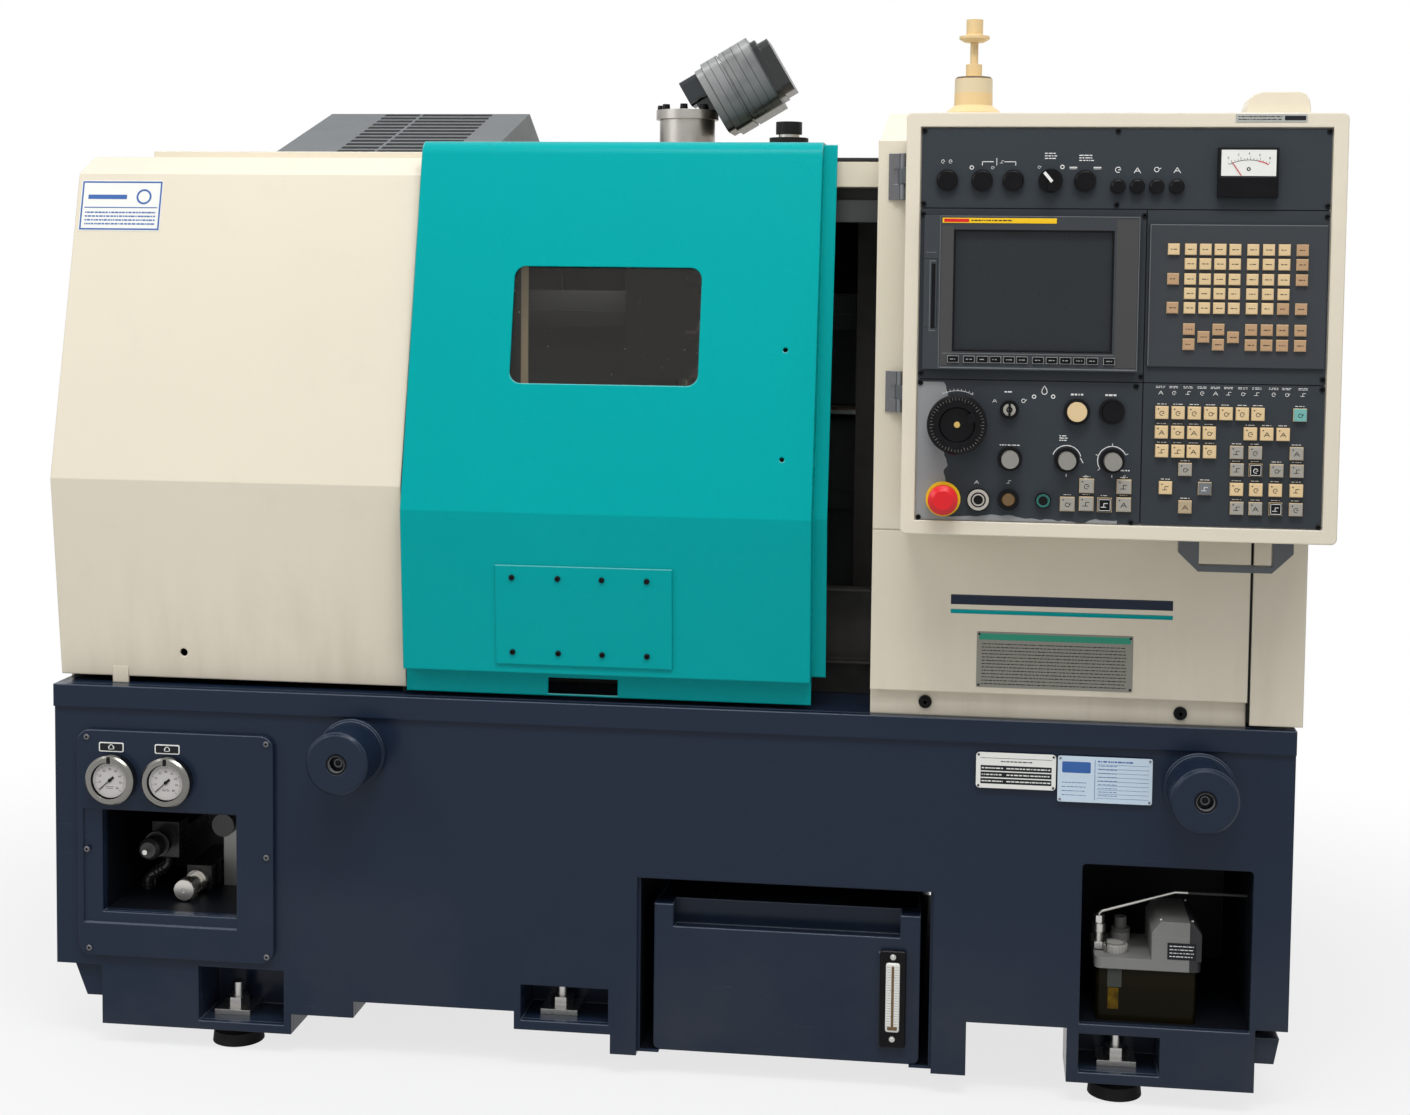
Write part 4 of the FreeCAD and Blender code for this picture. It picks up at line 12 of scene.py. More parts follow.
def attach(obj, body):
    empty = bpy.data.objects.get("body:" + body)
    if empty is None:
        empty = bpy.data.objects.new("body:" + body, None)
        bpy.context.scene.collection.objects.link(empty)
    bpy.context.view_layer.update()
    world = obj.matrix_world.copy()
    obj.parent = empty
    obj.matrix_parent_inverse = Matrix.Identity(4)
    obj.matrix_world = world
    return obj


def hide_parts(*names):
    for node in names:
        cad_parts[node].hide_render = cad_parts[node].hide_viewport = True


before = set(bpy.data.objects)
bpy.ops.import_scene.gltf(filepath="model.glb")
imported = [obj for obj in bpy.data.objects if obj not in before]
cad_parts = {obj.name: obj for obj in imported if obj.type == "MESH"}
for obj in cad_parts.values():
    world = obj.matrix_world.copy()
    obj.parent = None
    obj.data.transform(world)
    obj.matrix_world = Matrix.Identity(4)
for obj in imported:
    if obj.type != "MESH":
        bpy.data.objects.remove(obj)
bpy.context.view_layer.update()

# The machine's own millimetres, as in the part's source
ORIGIN_X = 10
ORIGIN_Y = 532.5
MM = 0.001
FAR = 9999
AXES = {"x": (1, 0, 0), "y": (0, 1, 0), "z": (0, 0, 1)}


def machine(x, y, z):
    """A point of the machine as a point of the frame, in metres."""
    return Vector(((x - ORIGIN_X) * MM, (y - ORIGIN_Y) * MM, z * MM))


def leaning(foot, top):
    """Plane of a face by two points in y and z: u is x, v runs up it, w stands out."""
    length = math.dist(foot, top)
    up_y, up_z = ((end - start) / length for start, end in zip(foot, top))
    rows = (
        (MM, 0, 0, -ORIGIN_X * MM),
        (0, up_y * MM, -up_z * MM, (foot[0] - ORIGIN_Y) * MM),
        (0, up_z * MM, up_y * MM, foot[1] * MM),
        (0, 0, 0, 1),
    )
    return Matrix(rows)


def facing(y):
    """Plane facing the operator: u is x, v is z, w stands out from y."""
    return leaning((y, 0), (y, 1))


def lying(z):
    """Plane facing up: u is x, v is y, w stands up from z."""
    return leaning((0, z), (1, z))


def turned(place, turn):
    """Axes at a place of the machine, in millimetres, with a turn."""
    return Matrix.Translation(machine(*place)) @ turn @ Matrix.Scale(MM, 4)


def around(u, v, radius, degrees):
    """A point at an angle on a circle."""
    angle = math.radians(degrees)
    return u + math.cos(angle) * radius, v + math.sin(angle) * radius


def add_object(name, data, look=None):
    """A new object in the scene, with its material."""
    obj = bpy.data.objects.new(name, data)
    bpy.context.scene.collection.objects.link(obj)
    if look:
        data.materials.append(MATERIALS[look])
    return obj


def by_word(table):
    """Turns a table of words under a name into the name for each word."""
    return {word: name for name, words in table.items() for word in words.split()}


# Materials

def feed(tree, node, inputs):
    """Gives a node's inputs their values, or links them to the outputs given."""
    for name, value in dict(inputs).items():
        if isinstance(value, bpy.types.NodeSocket):
            tree.links.new(value, node.inputs[name])
        else:
            node.inputs[name].default_value = value


def put(tree, kind, inputs=(), **settings):
    """A new node with its settings and inputs."""
    node = tree.nodes.new("ShaderNode" + kind)
    for name, value in settings.items():
        setattr(node, name, value)
    feed(tree, node, inputs)
    return node


def shade(colour, factor, added=0):
    """A colour made darker or paler."""
    return tuple(channel * factor + added for channel in colour)


class Shader:
    """A material and short names for its nodes."""

    def __init__(self, name, colour, rough=0.5, metal=0):
        self.material = bpy.data.materials.new(name)
        self.material.use_nodes = True
        self.tree = self.material.node_tree
        self.shader = self.tree.nodes["Principled BSDF"]
        self.feed({"Metallic": metal, "Base Color": (*colour, 1), "Roughness": rough})
        self.place = self.put("TexCoord").outputs["Object"]
        self.normal = None

    def feed(self, inputs):
        feed(self.tree, self.shader, inputs)

    def put(self, kind, inputs=(), **settings):
        return put(self.tree, kind, inputs, **settings)

    def noise(self, scale, detail=4, rough=0.55, stretch=None):
        """Cloudy noise, stretched along each axis."""
        place = self.place
        if stretch:
            place = self.put("Mapping", {"Vector": place, "Scale": stretch}).outputs["Vector"]
        values = {"Vector": place, "Scale": scale, "Detail": detail, "Roughness": rough}
        return self.put("TexNoise", values).outputs["Fac"]

    def curve(self, value, low, high, to_low=0, to_high=1):
        """A value's range, clamped and spread to another range."""
        limits = {"From Min": low, "From Max": high, "To Min": to_low, "To Max": to_high}
        return self.put("MapRange", {"Value": value, **limits}).outputs["Result"]

    def math(self, operation, a, b):
        return self.put("Math", {0: a, 1: b}, operation=operation).outputs["Value"]

    def product(self, *masks):
        return functools.reduce(functools.partial(self.math, "MULTIPLY"), masks)

    def along(self, origin, direction):
        """Millimetres along a direction from a place of the machine."""
        offset = self.put("VectorMath", {0: self.place, 1: machine(*origin)}, operation="SUBTRACT")
        pair = {0: offset.outputs["Vector"], 1: Vector(direction) / MM}
        return self.put("VectorMath", pair, operation="DOT_PRODUCT").outputs["Value"]

    def axis(self, name):
        """Millimetres along one of the machine's axes."""
        return self.along((0, 0, 0), AXES[name])

    def within(self, **limits):
        """1 between the limits of each axis."""
        masks = []
        for name, (low, high) in limits.items():
            place = self.axis(name)
            masks += [self.math("GREATER_THAN", place, low), self.math("LESS_THAN", place, high)]
        return self.product(*masks)

    def blend(self, name, mask, value, **settings):
        """Lays a value over an input of the shader where the mask is 1."""
        socket = self.shader.inputs[name]
        under = socket.links[0].from_socket if socket.is_linked else socket.default_value
        mix = self.put("Mix", {"Factor": mask, "A": under, "B": value}, **settings)
        self.feed({name: mix.outputs["Result"]})

    def tint(self, mask, colour):
        self.blend("Base Color", mask, (*colour, 1), data_type="RGBA")

    def recoat(self, mask, colour, rough=None, metal=None):
        """Another finish where the mask is 1."""
        self.tint(mask, colour)
        for name, value in (("Roughness", rough), ("Metallic", metal)):
            if value is not None:
                self.blend(name, mask, value)

    def cloud(self, noise, low, high, amount, colour):
        """Tints where a noise lies above a limit, up to an amount."""
        self.tint(self.curve(noise, low, high, 0, amount), colour)

    def roughen(self, mask, low, high):
        """Roughness between two values."""
        self.feed({"Roughness": self.curve(mask, 0, 1, low, high)})

    def bump(self, height, strength, depth):
        """Adds relief; the depth is in millimetres."""
        values = {"Strength": strength, "Distance": depth * MM, "Height": height}
        if self.normal is not None:
            values["Normal"] = self.normal
        self.normal = self.put("Bump", values).outputs["Normal"]
        self.feed({"Normal": self.normal})

    def soft_edges(self, radius):
        """Rounds the look of sharp edges, by a radius in millimetres."""
        self.normal = self.put("Bevel", {"Radius": radius * MM}, samples=6).outputs["Normal"]
        self.feed({"Normal": self.normal})

    def painted_edge_highlights(self, colour, amount):
        """Painted highlight: a paler line on edges that face up."""
        flat = self.put("NewGeometry").outputs["True Normal"]
        both = self.put("VectorMath", {0: flat, 1: self.normal}, operation="DOT_PRODUCT")
        height = self.put("SeparateXYZ", {"Vector": self.normal}).outputs["Z"]
        turn = self.curve(both.outputs["Value"], 0.985, 0.86)
        self.tint(self.product(turn, self.curve(height, 0.18, 0.5, 0, amount)), colour)


EVEN = (1, 1, 1)


def paint(name, colour, rough=0.38, peel=0.25, worn=0.35, edge=1.6, coat=0, sheen=0.3, rub=None):
    """Sprayed paint with orange peel, cloudy tone, fine scratches and dust, and painted highlights on
    edges that face up where an edge highlight colour is given.
    """
    shader = Shader(name, colour, rough)
    shader.soft_edges(edge)
    shader.cloud(shader.noise(1.7, 3), 0.35, 0.75, 0.5, shade(colour, 0.9))
    grime = shader.noise(9, 6, 0.65)
    shader.cloud(grime, 0.56, 0.78, worn * 0.5, shade(colour, 0.72))
    scratches = shader.curve(shader.noise(26, 2, 0.5, stretch=(1, 1, 14)), 0.70, 0.74)
    patches = shader.curve(shader.noise(5, 2), 0.5, 0.65)
    shader.tint(shader.product(scratches, patches, worn * 0.6), shade(colour, 0.8, 0.05))
    # Painted highlight on the edges that face up
    if rub:
        shader.painted_edge_highlights(rub, 0.75)
    shader.roughen(grime, rough * 0.8, min(1, rough * 1.35))
    shader.bump(shader.noise(420, 2), peel, 0.25)
    shader.bump(shader.noise(14, 2), peel * 0.5, 0.6)
    shader.feed({"Coat Weight": coat, "Coat Roughness": 0.12, "Specular IOR Level": sheen})
    return shader


def plastic(name, colour, rough=0.45, grain=0.2, edge=0.5, sheen=None):
    """Moulded plastic with a fine grain, handling marks and dust."""
    shader = Shader(name, colour, rough)
    shader.soft_edges(edge)
    shader.cloud(shader.noise(30, 5, 0.6), 0.5, 0.8, 0.35, shade(colour, 0.9, 0.008))
    shader.roughen(shader.noise(55, 3), rough * 0.75, min(1, rough * 1.3))
    shader.bump(shader.noise(900, 2), grain, 0.1)
    if sheen is None:
        sheen = 0.12 if max(colour) < 0.1 else 0.35
    shader.feed({"Specular IOR Level": sheen})
    return shader


def metal(name, colour, rough=0.3, brushed=EVEN, stain=0.4, edge=0.8):
    """Machined metal with tool marks along one direction and stains."""
    shader = Shader(name, colour, rough, metal=1)
    shader.soft_edges(edge)
    lines = shader.noise(160, 4, 0.6, stretch=brushed)
    shader.cloud(shader.noise(12, 5, 0.6), 0.45, 0.75, stain, shade(colour, 0.55))
    shader.roughen(lines, rough * 0.7, min(1, rough * 1.5))
    shader.bump(lines, 0.15, 0.12)
    return shader


def casting(name, colour, rough=0.6):
    """Painted rough casting."""
    shader = Shader(name, colour, rough)
    shader.soft_edges(2.5)
    shader.cloud(shader.noise(6, 6), 0.45, 0.75, 0.5, shade(colour, 0.6))
    shader.roughen(shader.noise(40, 3), rough * 0.8, min(1, rough * 1.3))
    shader.bump(shader.noise(90, 6, 0.7), 0.5, 0.8)
    return shader


NAVY = (0.011, 0.020, 0.041)
CREAM = (0.73, 0.665, 0.535)


def navy_material():
    """Navy paint, dusty near the floor, with painted highlights on edges that face up."""
    shader = paint("navy", NAVY, 0.2, 0.3, 0.5, edge=3.4, sheen=0.17, rub=(0.17, 0.20, 0.25))
    dust = shader.curve(shader.noise(3, 5), 0.40, 0.75, 0, 0.30)
    low = shader.curve(shader.axis("z"), 300, 30)
    shader.tint(shader.product(dust, low), (0.10, 0.10, 0.095))
    return shader


def cream_material():
    """Cream paint, stained in streaks at its foot, with painted highlights on edges that face up."""
    shader = paint("cream", CREAM, 0.34, 0.22, 0.35, edge=3, coat=0.1, rub=(0.93, 0.90, 0.84))
    streaks = shader.curve(shader.noise(3.5, 4, 0.6, stretch=(5, 5, 0.7)), 0.45, 0.75, 0, 0.35)
    low = shader.curve(shader.axis("z"), 800, 560)
    shader.tint(shader.product(streaks, low), (0.46, 0.40, 0.29))
    return shader


def panel_material():
    """Slate panel paint, peeled to a pale layer round the left and bottom edges."""
    shader = paint("panel", (0.030, 0.037, 0.044), 0.5, 0.2, 0.5, edge=0.6, sheen=0.2)
    wave = shader.curve(shader.noise(14, 3, 0.5), 0.3, 0.7, -12, 12)
    left = shader.math("LESS_THAN", shader.math("SUBTRACT", shader.axis("x"), wave), 416)
    rise = shader.math("SUBTRACT", shader.axis("z"), shader.product(wave, 0.55))
    bottom = shader.product(shader.math("LESS_THAN", rise, 861), shader.within(x=(-FAR, 650)))
    peeled = shader.product(shader.math("MAXIMUM", left, bottom), shader.within(z=(-FAR, 1043.5)))
    shader.tint(peeled, (0.27, 0.275, 0.28))
    return shader


def window_material():
    """Smoke-tinted pane with dried splashes."""
    shader = Shader("smoke", (0.82, 0.76, 0.67), 0.05)
    shader.feed({"Transmission Weight": 1, "IOR": 1.3})
    spots = shader.put("TexVoronoi", {"Vector": shader.place, "Scale": 60}).outputs["Distance"]
    patches = shader.noise(14, 4)
    splashes = shader.product(shader.curve(spots, 0.16, 0.08), shader.curve(patches, 0.50, 0.62))
    film = shader.curve(patches, 0.4, 0.8, 0, 0.25)
    shader.roughen(shader.math("MAXIMUM", splashes, film), 0.04, 0.6)
    shader.bump(shader.noise(30, 2), 0.05, 0.2)
    return shader


def oil_material():
    """Dark reservoir with oil low in it and a lit amber strip."""
    shader = Shader("oil", (0.008, 0.0065, 0.002), 0.12)
    shader.tint(shader.product(shader.within(z=(-FAR, 171)), 0.6), (0.005, 0.0042, 0.001))
    shader.feed({"Specular IOR Level": 0.06})
    cloudy = shader.curve(shader.noise(60, 3), 0.35, 0.65, 0.35, 1)
    strip = shader.within(x=(665, 680), z=(136, 167))
    shader.tint(shader.product(strip, cloudy), (0.13, 0.075, 0.004))
    shader.roughen(shader.noise(20), 0.08, 0.3)
    shader.bump(shader.noise(25, 2), 0.1, 0.3)
    return shader


def screen_material():
    """Dull dark glass of the screen."""
    shader = Shader("screen", (0.017, 0.021, 0.024), 0.22)
    shader.cloud(shader.noise(5, 3), 0.35, 0.75, 0.5, (0.026, 0.032, 0.035))
    shader.feed({"Specular IOR Level": 0.2})
    shader.roughen(shader.noise(18, 4), 0.15, 0.4)
    shader.bump(shader.noise(700, 2), 0.05, 0.05)
    return shader


def servo_material():
    """Cast alloy body with a black cover, a black foot and a dark connector. Painted shade and a painted
    dark teal reflection darken the body's lower side, and painted shade darkens its grooves.
    """
    shader = metal("servo", (0.34, 0.35, 0.35), rough=0.3, stain=0.6, edge=2.5)
    shader.bump(shader.noise(120, 5), 0.25, 0.5)
    tilt = math.radians(30.4)
    centre = (55, 625, 1507)
    length = shader.along(centre, (math.cos(tilt), 0, math.sin(tilt)))
    height = shader.along(centre, (-math.sin(tilt), 0, math.cos(tilt)))
    shader.cloud(shader.noise(8, 3), 0.42, 0.62, 0.7, (0.075, 0.078, 0.08))
    # Painted shade and a painted dark teal reflection on the lower side of the body
    shader.tint(shader.curve(height, 45, -45, 0, 0.92), (0.035, 0.048, 0.048))
    # Painted shade in the grooves round the body
    groove_shade = shader.curve(shader.math("PINGPONG", length, 7.5), 0.9, 0.2)
    shader.tint(shader.product(groove_shade, 0.8), (0.02, 0.022, 0.023))
    cover = shader.math("GREATER_THAN", length, 46.2)
    neck = shader.math("LESS_THAN", length, -58.2)
    foot = shader.product(neck, shader.math("LESS_THAN", height, 13.8))
    shader.recoat(shader.math("MAXIMUM", cover, foot), (0.008, 0.009, 0.010), rough=0.3, metal=0)
    connector = shader.product(neck, shader.math("GREATER_THAN", height, 13.8))
    shader.recoat(connector, (0.05, 0.055, 0.06), rough=0.28)
    return shader


PAINTS = {
    "navy_inside": (NAVY, 0.3, 0.3, 0.5, 1, 0, 0.17),
    "rail": (CREAM, 0.36, 0.22, 0.35, 1.5),
    # The teal's last value is the colour of painted highlights on its edges that face up
    "teal": ((0, 0.335, 0.34), 0.26, 0.28, 0.2, 3.2, 0, 0.07, (0.30, 0.66, 0.66)),
    "grey": ((0.124, 0.136, 0.142), 0.5, 0.2, 0.4),
    "pump_grey": ((0.21, 0.21, 0.20), 0.45, 0.3, 0.6, 1.5),
    "handle": ((0.10, 0.11, 0.12), 0.32, 0.3, 0.4, 2),
    "slate": ((0.040, 0.045, 0.051), 0.45, 0.2, 0.4, 1.2, 0, 0.2),
}
METALS = {
    "steel": ((0.56, 0.55, 0.53), 0.28, (1, 1, 6)),
    "turned": ((0.40, 0.38, 0.36), 0.3, (1, 1, 8), 0.5),
    "chrome": ((0.62, 0.60, 0.57), 0.14, EVEN, 0.2, 0.5),
    "bezel": ((0.21, 0.205, 0.19), 0.18, EVEN, 0.4, 1),
    "dark_metal": ((0.17, 0.17, 0.18), 0.35),
    "tin": ((0.42, 0.43, 0.40), 0.38, EVEN, 0.3),
    "brass": ((0.60, 0.42, 0.14),),
}
CASTINGS = {
    "casting": ((0.10, 0.11, 0.115),),
    "sheet_dark": ((0.015, 0.013, 0.011),),
}
PLASTICS = {
    "black": ((0.006, 0.006, 0.007), 0.4),
    "gloss_black": ((0.003, 0.003, 0.004), 0.2, 0.05),
    "ivory": ((0.70, 0.52, 0.29), 0.42),
    "brown_key": ((0.46, 0.29, 0.16),),
    "grey_key": ((0.34, 0.32, 0.28),),
    "teal_key": ((0.16, 0.42, 0.38), 0.4),
    "slate_key": ((0.15, 0.16, 0.165),),
    "tan_key": ((0.42, 0.33, 0.21),),
    "lamp": ((0.72, 0.53, 0.27), 0.38, 0.2, 1),
    "pearl": ((0.44, 0.41, 0.36), 0.35),
    "knob": ((0.25, 0.24, 0.215), 0.35),
    "red": ((0.68, 0.006, 0.012), 0.25, 0.08, 2),
    "yellow": ((0.85, 0.52, 0.01), 0.35),
    "green": ((0.01, 0.12, 0.10), 0.15, 0.03),
    "brown_lens": ((0.14, 0.08, 0.03), 0.2, 0.03),
    "white": ((0.78, 0.78, 0.74), 0.35, 0.05),
    "ink": ((0.015, 0.016, 0.02), 0.5, 0.05),
    "legend": ((0.80, 0.80, 0.78), 0.5, 0.05),
    "blue_ink": ((0.03, 0.11, 0.35), 0.45, 0.05),
    "pale_blue": ((0.55, 0.66, 0.76), 0.4, 0.05),
    "green_ink": ((0.02, 0.27, 0.17), 0.45, 0.05),
    "cap": ((0.010, 0.010, 0.011), 0.35, 0.1, 1.5),
    "valves": ((0.022, 0.022, 0.023), 0.28, 0.1, 1, 0.5),
    "hose": ((0.035, 0.035, 0.036), 0.3, 0.2, 0.5, 0.5),
    "dial": ((0.52, 0.50, 0.48), 0.35, 0.05),
    "plate": ((0.255, 0.25, 0.215), 0.4),
    "rim": ((0.14, 0.15, 0.155), 0.4),
    "bar": ((0.062, 0.063, 0.061),),
    "dull_print": ((0.33, 0.34, 0.34), 0.5),
    "rubber": ((0.02, 0.02, 0.02), 0.75, 0.4, 1),
}
SHADERS = {
    "navy": navy_material(),
    "cream": cream_material(),
    "panel": panel_material(),
    "smoke": window_material(),
    "oil": oil_material(),
    "screen": screen_material(),
    "servo": servo_material(),
}
for make, table in ((paint, PAINTS), (metal, METALS), (casting, CASTINGS), (plastic, PLASTICS)):
    SHADERS.update({look: make(look, *values) for look, values in table.items()})

# Other finishes in a region of a look, and painted shade in some regions: the region, the colour,
# roughness and metalness
COATS = (
    # Painted shade: the base's inner walls, almost black
    ("navy_inside", dict(x=(-902, 902), y=(12.5, 1188)), (0.0035, 0.0045, 0.007), 0.5),
    # Painted shade in the rail's recess from z 1297.5 to 1315.5; below it the rail is grey
    ("rail", dict(z=(-FAR, 1315.5)), (0.020, 0.020, 0.019), 0.5),
    ("rail", dict(z=(-FAR, 1297.5)), (0.050, 0.052, 0.053), 0.4),
    ("lamp", dict(z=(1434, 1452.5)), (0.66, 0.55, 0.36)),
    ("lamp", dict(z=(1453.2, 1455.9)), (0.10, 0.07, 0.04)),
    ("cap", dict(z=(1408.2, 1413.8)), (0.45, 0.44, 0.42), 0.3, 1),
    ("oil", dict(x=(664, 684), z=(168, 200)), (0.055, 0.058, 0.052)),
    ("pump_grey", dict(x=(-FAR, 664), z=(213, FAR)), (0.50, 0.49, 0.46), 0.3, 1),
    ("pump_grey", dict(z=(268.5, FAR)), (0.50, 0.49, 0.46), 0.3, 1),
    ("pump_grey", dict(x=(664.5, 704), z=(212.5, 224.5)), (0.42, 0.41, 0.38), 0.4),
    ("pump_grey", dict(x=(778, FAR)), (0.02, 0.02, 0.022), 0.5, 0),
    ("valves", dict(x=(-754, -716), y=(-FAR, 119.9), z=(-FAR, 247)), (0.62, 0.60, 0.56), 0.22, 1),
    ("valves", dict(x=(-FAR, -762), y=(74.2, 77.5)), (0.62, 0.61, 0.58), 0.2, 1),
    ("valves", dict(x=(-FAR, -762), y=(-FAR, 39.8)), (0.62, 0.61, 0.58), 0.2, 1),
    ("valves", dict(x=(-717, FAR), y=(149, 166.5)), (0.30, 0.30, 0.29), 0.4, 0.6),
)
for look, region, *finish in COATS:
    SHADERS[look].recoat(SHADERS[look].within(**region), *finish)
MATERIALS = {look: shader.material for look, shader in SHADERS.items()}

NODE_LOOKS = by_word({
    "navy": "base_front base_deck base_legs lifting_bosses gauge_panel coolant_tank",
    "navy_inside": "base_walls",
    "cream": "left_cover roof_cover right_cover right_side_cover box_shell",
    "teal": "door_panel access_plate",
    "grey": "louvre_hood",
    "rail": "top_rail",
    "sheet_dark": "work_area_guard",
    "smoke": "door_window",
    "casting": "machine_bed headstock spindle_motor saddle cross_slide",
    "turned": "spindle chuck_body motor_pulley x_screw_housing turret_disc",
    "steel": "levelling_bolts chuck_jaw_1 chuck_jaw_2 chuck_jaw_3",
    "chrome": "z_screw x_screw",
    "servo": "x_motor",
    "rubber": "levelling_feet drive_belt roof_cable",
    "bezel": "pressure_gauges",
    "valves": "hydraulic_valves",
    "oil": "lubricator_tank",
    "pump_grey": "lubricator_pump",
    "cap": "roof_cap",
    "dark_metal": "box_hinges",
    "panel": "panel_plates",
    "slate": "display_unit card_door",
    "ivory": "panel_keys white_button",
    "black": "panel_fittings",
    "gloss_black": "handwheel black_button mode_selector key_switch",
    "handle": "box_hardware",
    "lamp": "lamp_base",
    "red": "emergency_stop",
    "knob": "override_knob_1 override_knob_2 override_knob_3",
})


def dress_nodes():
    """Gives every CAD node its material."""
    for name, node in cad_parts.items():
        material = MATERIALS[NODE_LOOKS[name]]
        if not node.material_slots:
            node.data.materials.append(material)
        for slot in node.material_slots:
            slot.material = material


dress_nodes()


# Fine pieces, each one mesh

# Drawn signs: a ring by its share of the half size, its sides and its arc, and strokes by two points
GLYPH_RINGS = {0: (0.45, 14, 0, 360), 3: (0.55, 12, 30, 300)}
GLYPH_STROKES = (
    ((0.5, 0, 1, 0.4),),
    ((-1, -0.4, 0.4, -0.4), (-0.2, -0.4, -0.2, 0.6), (-0.2, 0.6, 0.8, 0.6)),
    ((-0.8, -0.6, 0, 0.7), (0, 0.7, 0.8, -0.6), (-0.4, -0.1, 0.4, -0.1)),
    ((0, 0, 0.7, 0),),
)


def grid(columns, rows):
    """Every crossing of the columns and the rows."""
    return [(u, v) for v in rows for u in columns]


def circle(u, v, radius, sides):
    """Points round a circle."""
    return [around(u, v, radius, 360 * index / sides) for index in range(sides)]


def rounded(u, v, radius, keep_points=False):
    """Points round a rectangle with rounded corners."""
    if radius <= 0 and not keep_points:
        return [(u[0], v[0]), (u[1], v[0]), (u[1], v[1]), (u[0], v[1])]
    radius = max(radius, 0.01)
    left, right = u[0] + radius, u[1] - radius
    low, high = v[0] + radius, v[1] - radius
    corners = ((right, low, -90), (right, high, 0), (left, high, 90), (left, low, 180))
    turns = (0, 18, 36, 54, 72, 90)
    return [around(*centre, radius, start + turn) for *centre, start in corners for turn in turns]


class Piece:
    """One mesh built from forms on a plane, each with its height range w."""

    def __init__(self, name, place, w=(0, 0)):
        self.name = name
        self.place = place
        self.w = w
        self.mesh = bmesh.new()

    def point(self, u, v, w):
        return self.mesh.verts.new(self.place @ Vector((u, v, w)))

    def skin(self, loops, closed=False):
        """Walls between loops of points; the ends are capped, or meet where it is closed."""
        if closed:
            loops = [*loops, loops[0]]
        else:
            self.mesh.faces.new(loops[-1])
            self.mesh.faces.new(loops[0][::-1])
        for under, over in zip(loops, loops[1:]):
            for index in range(len(under)):
                after = (index + 1) % len(under)
                self.mesh.faces.new((under[index], under[after], over[after], over[index]))
        return self

    def prism(self, outline, w=None, high_outline=None):
        """A solid between an outline at one height and an outline at another."""
        low, high = w or self.w
        bottom = [self.point(u, v, low) for u, v in outline]
        top = [self.point(u, v, high) for u, v in (high_outline or outline)]
        return self.skin((bottom, top))

    def slab(self, u, v, w=None, radius=0, chamfer=0):
        """A plate with rounded corners and a chamfered front edge."""
        low, high = w or self.w
        outline = rounded(u, v, radius)
        if not chamfer:
            return self.prism(outline, (low, high))
        inner_u = (u[0] + chamfer, u[1] - chamfer)
        inner_v = (v[0] + chamfer, v[1] - chamfer)
        inner = rounded(inner_u, inner_v, max(radius - chamfer, 0), len(outline) > 4)
        self.prism(outline, (low, high - chamfer))
        return self.prism(outline, (high - chamfer, high), inner)

    def slabs(self, *rows, w=None):
        """Plain plates, each by its two limits in u and its two limits in v."""
        for left, right, low, high in rows:
            self.slab((left, right), (low, high), w)
        return self

    def disc(self, u, v, radius, w=None, top=None, sides=32):
        upper = circle(u, v, radius if top is None else top, sides)
        return self.prism(circle(u, v, radius, sides), w, upper)

    def ring(self, u, v, inner, outer, w=None, sides=36, start=0, stop=360):
        """A flat ring, or a part of one, with thickness."""
        low, high = w or self.w
        steps = max(2, int(sides * (stop - start) / 360))
        whole = stop - start >= 360
        section = ((inner, low), (outer, low), (outer, high), (inner, high))
        rows = []
        for index in range(steps if whole else steps + 1):
            angle = start + (stop - start) * index / steps
            rows.append([self.point(*around(u, v, radius, angle), level) for radius, level in section])
        return self.skin(rows, whole)

    def rounds(self, *rows):
        """Rings by two radii, or discs where the second radius, at the top, isn't the larger."""
        for u, v, first, second, low, high, sides in rows:
            if second > first:
                self.ring(u, v, first, second, (low, high), sides)
            else:
                self.disc(u, v, first, (low, high), second, sides)
        return self

    def line(self, start, end, width, w=None):
        """A straight bar between two points."""
        du, dv = end[0] - start[0], end[1] - start[1]
        share = width / 2 / (math.hypot(du, dv) or 1)
        a, b = dv * share, du * share
        first = ((start[0] + a, start[1] - b), (end[0] + a, end[1] - b))
        last = ((end[0] - a, end[1] + b), (start[0] - a, start[1] + b))
        return self.prism((*first, *last), w)

    def lines(self, *rows):
        """Straight bars, each by its two points and its width."""
        for *start, end_u, end_v, width in rows:
            self.line(start, (end_u, end_v), width)

    def spoke(self, u, v, degrees, inner, outer, width, w=None):
        """A bar along a radius of a circle, between two distances from the centre."""
        return self.line(around(u, v, inner, degrees), around(u, v, outer, degrees), width, w)

    def screws(self, radius, *places, w=0):
        """Round heads with a hexagonal socket."""
        height = radius * 0.7
        floor = w + height * 0.62
        top = w + height
        steps = ((radius, floor), (radius * 0.765, top), (radius * 0.45, top), (radius * 0.45, floor))
        for u, v in places:
            self.disc(u, v, radius, (w, w + height * 0.6), sides=20)
            self.skin([[self.point(a, b, z) for a, b in circle(u, v, size, 6)] for size, z in steps])
        return self

    def script(self, u, v, width, height, rows, thick, seed, w=None):
        """Rows of short dashes that stand for small print."""
        draw = random.Random(seed)
        pitch = height / rows
        for row in range(rows):
            level = v + height - pitch * (row + 0.5)
            at = u
            while at < u + width - 1.0:
                end = min(at + draw.uniform(1.5, 6), u + width)
                self.line((at, level), (end, level), min(thick, pitch * 0.6), w)
                at = end + draw.uniform(0.7, 1.6)
        return self

    def glyph(self, u, v, size, seed, w=None):
        """A small drawn sign of a few strokes."""
        half = size / 2
        stroke = max(size * 0.09, 0.45)
        kind = random.Random(seed).randrange(4)
        if kind in GLYPH_RINGS:
            share, *arc = GLYPH_RINGS[kind]
            self.ring(u, v, half * share, half * share + stroke, w, *arc)
        for a, b, c, d in GLYPH_STROKES[kind]:
            self.line((u + half * a, v + half * b), (u + half * c, v + half * d), stroke, w)

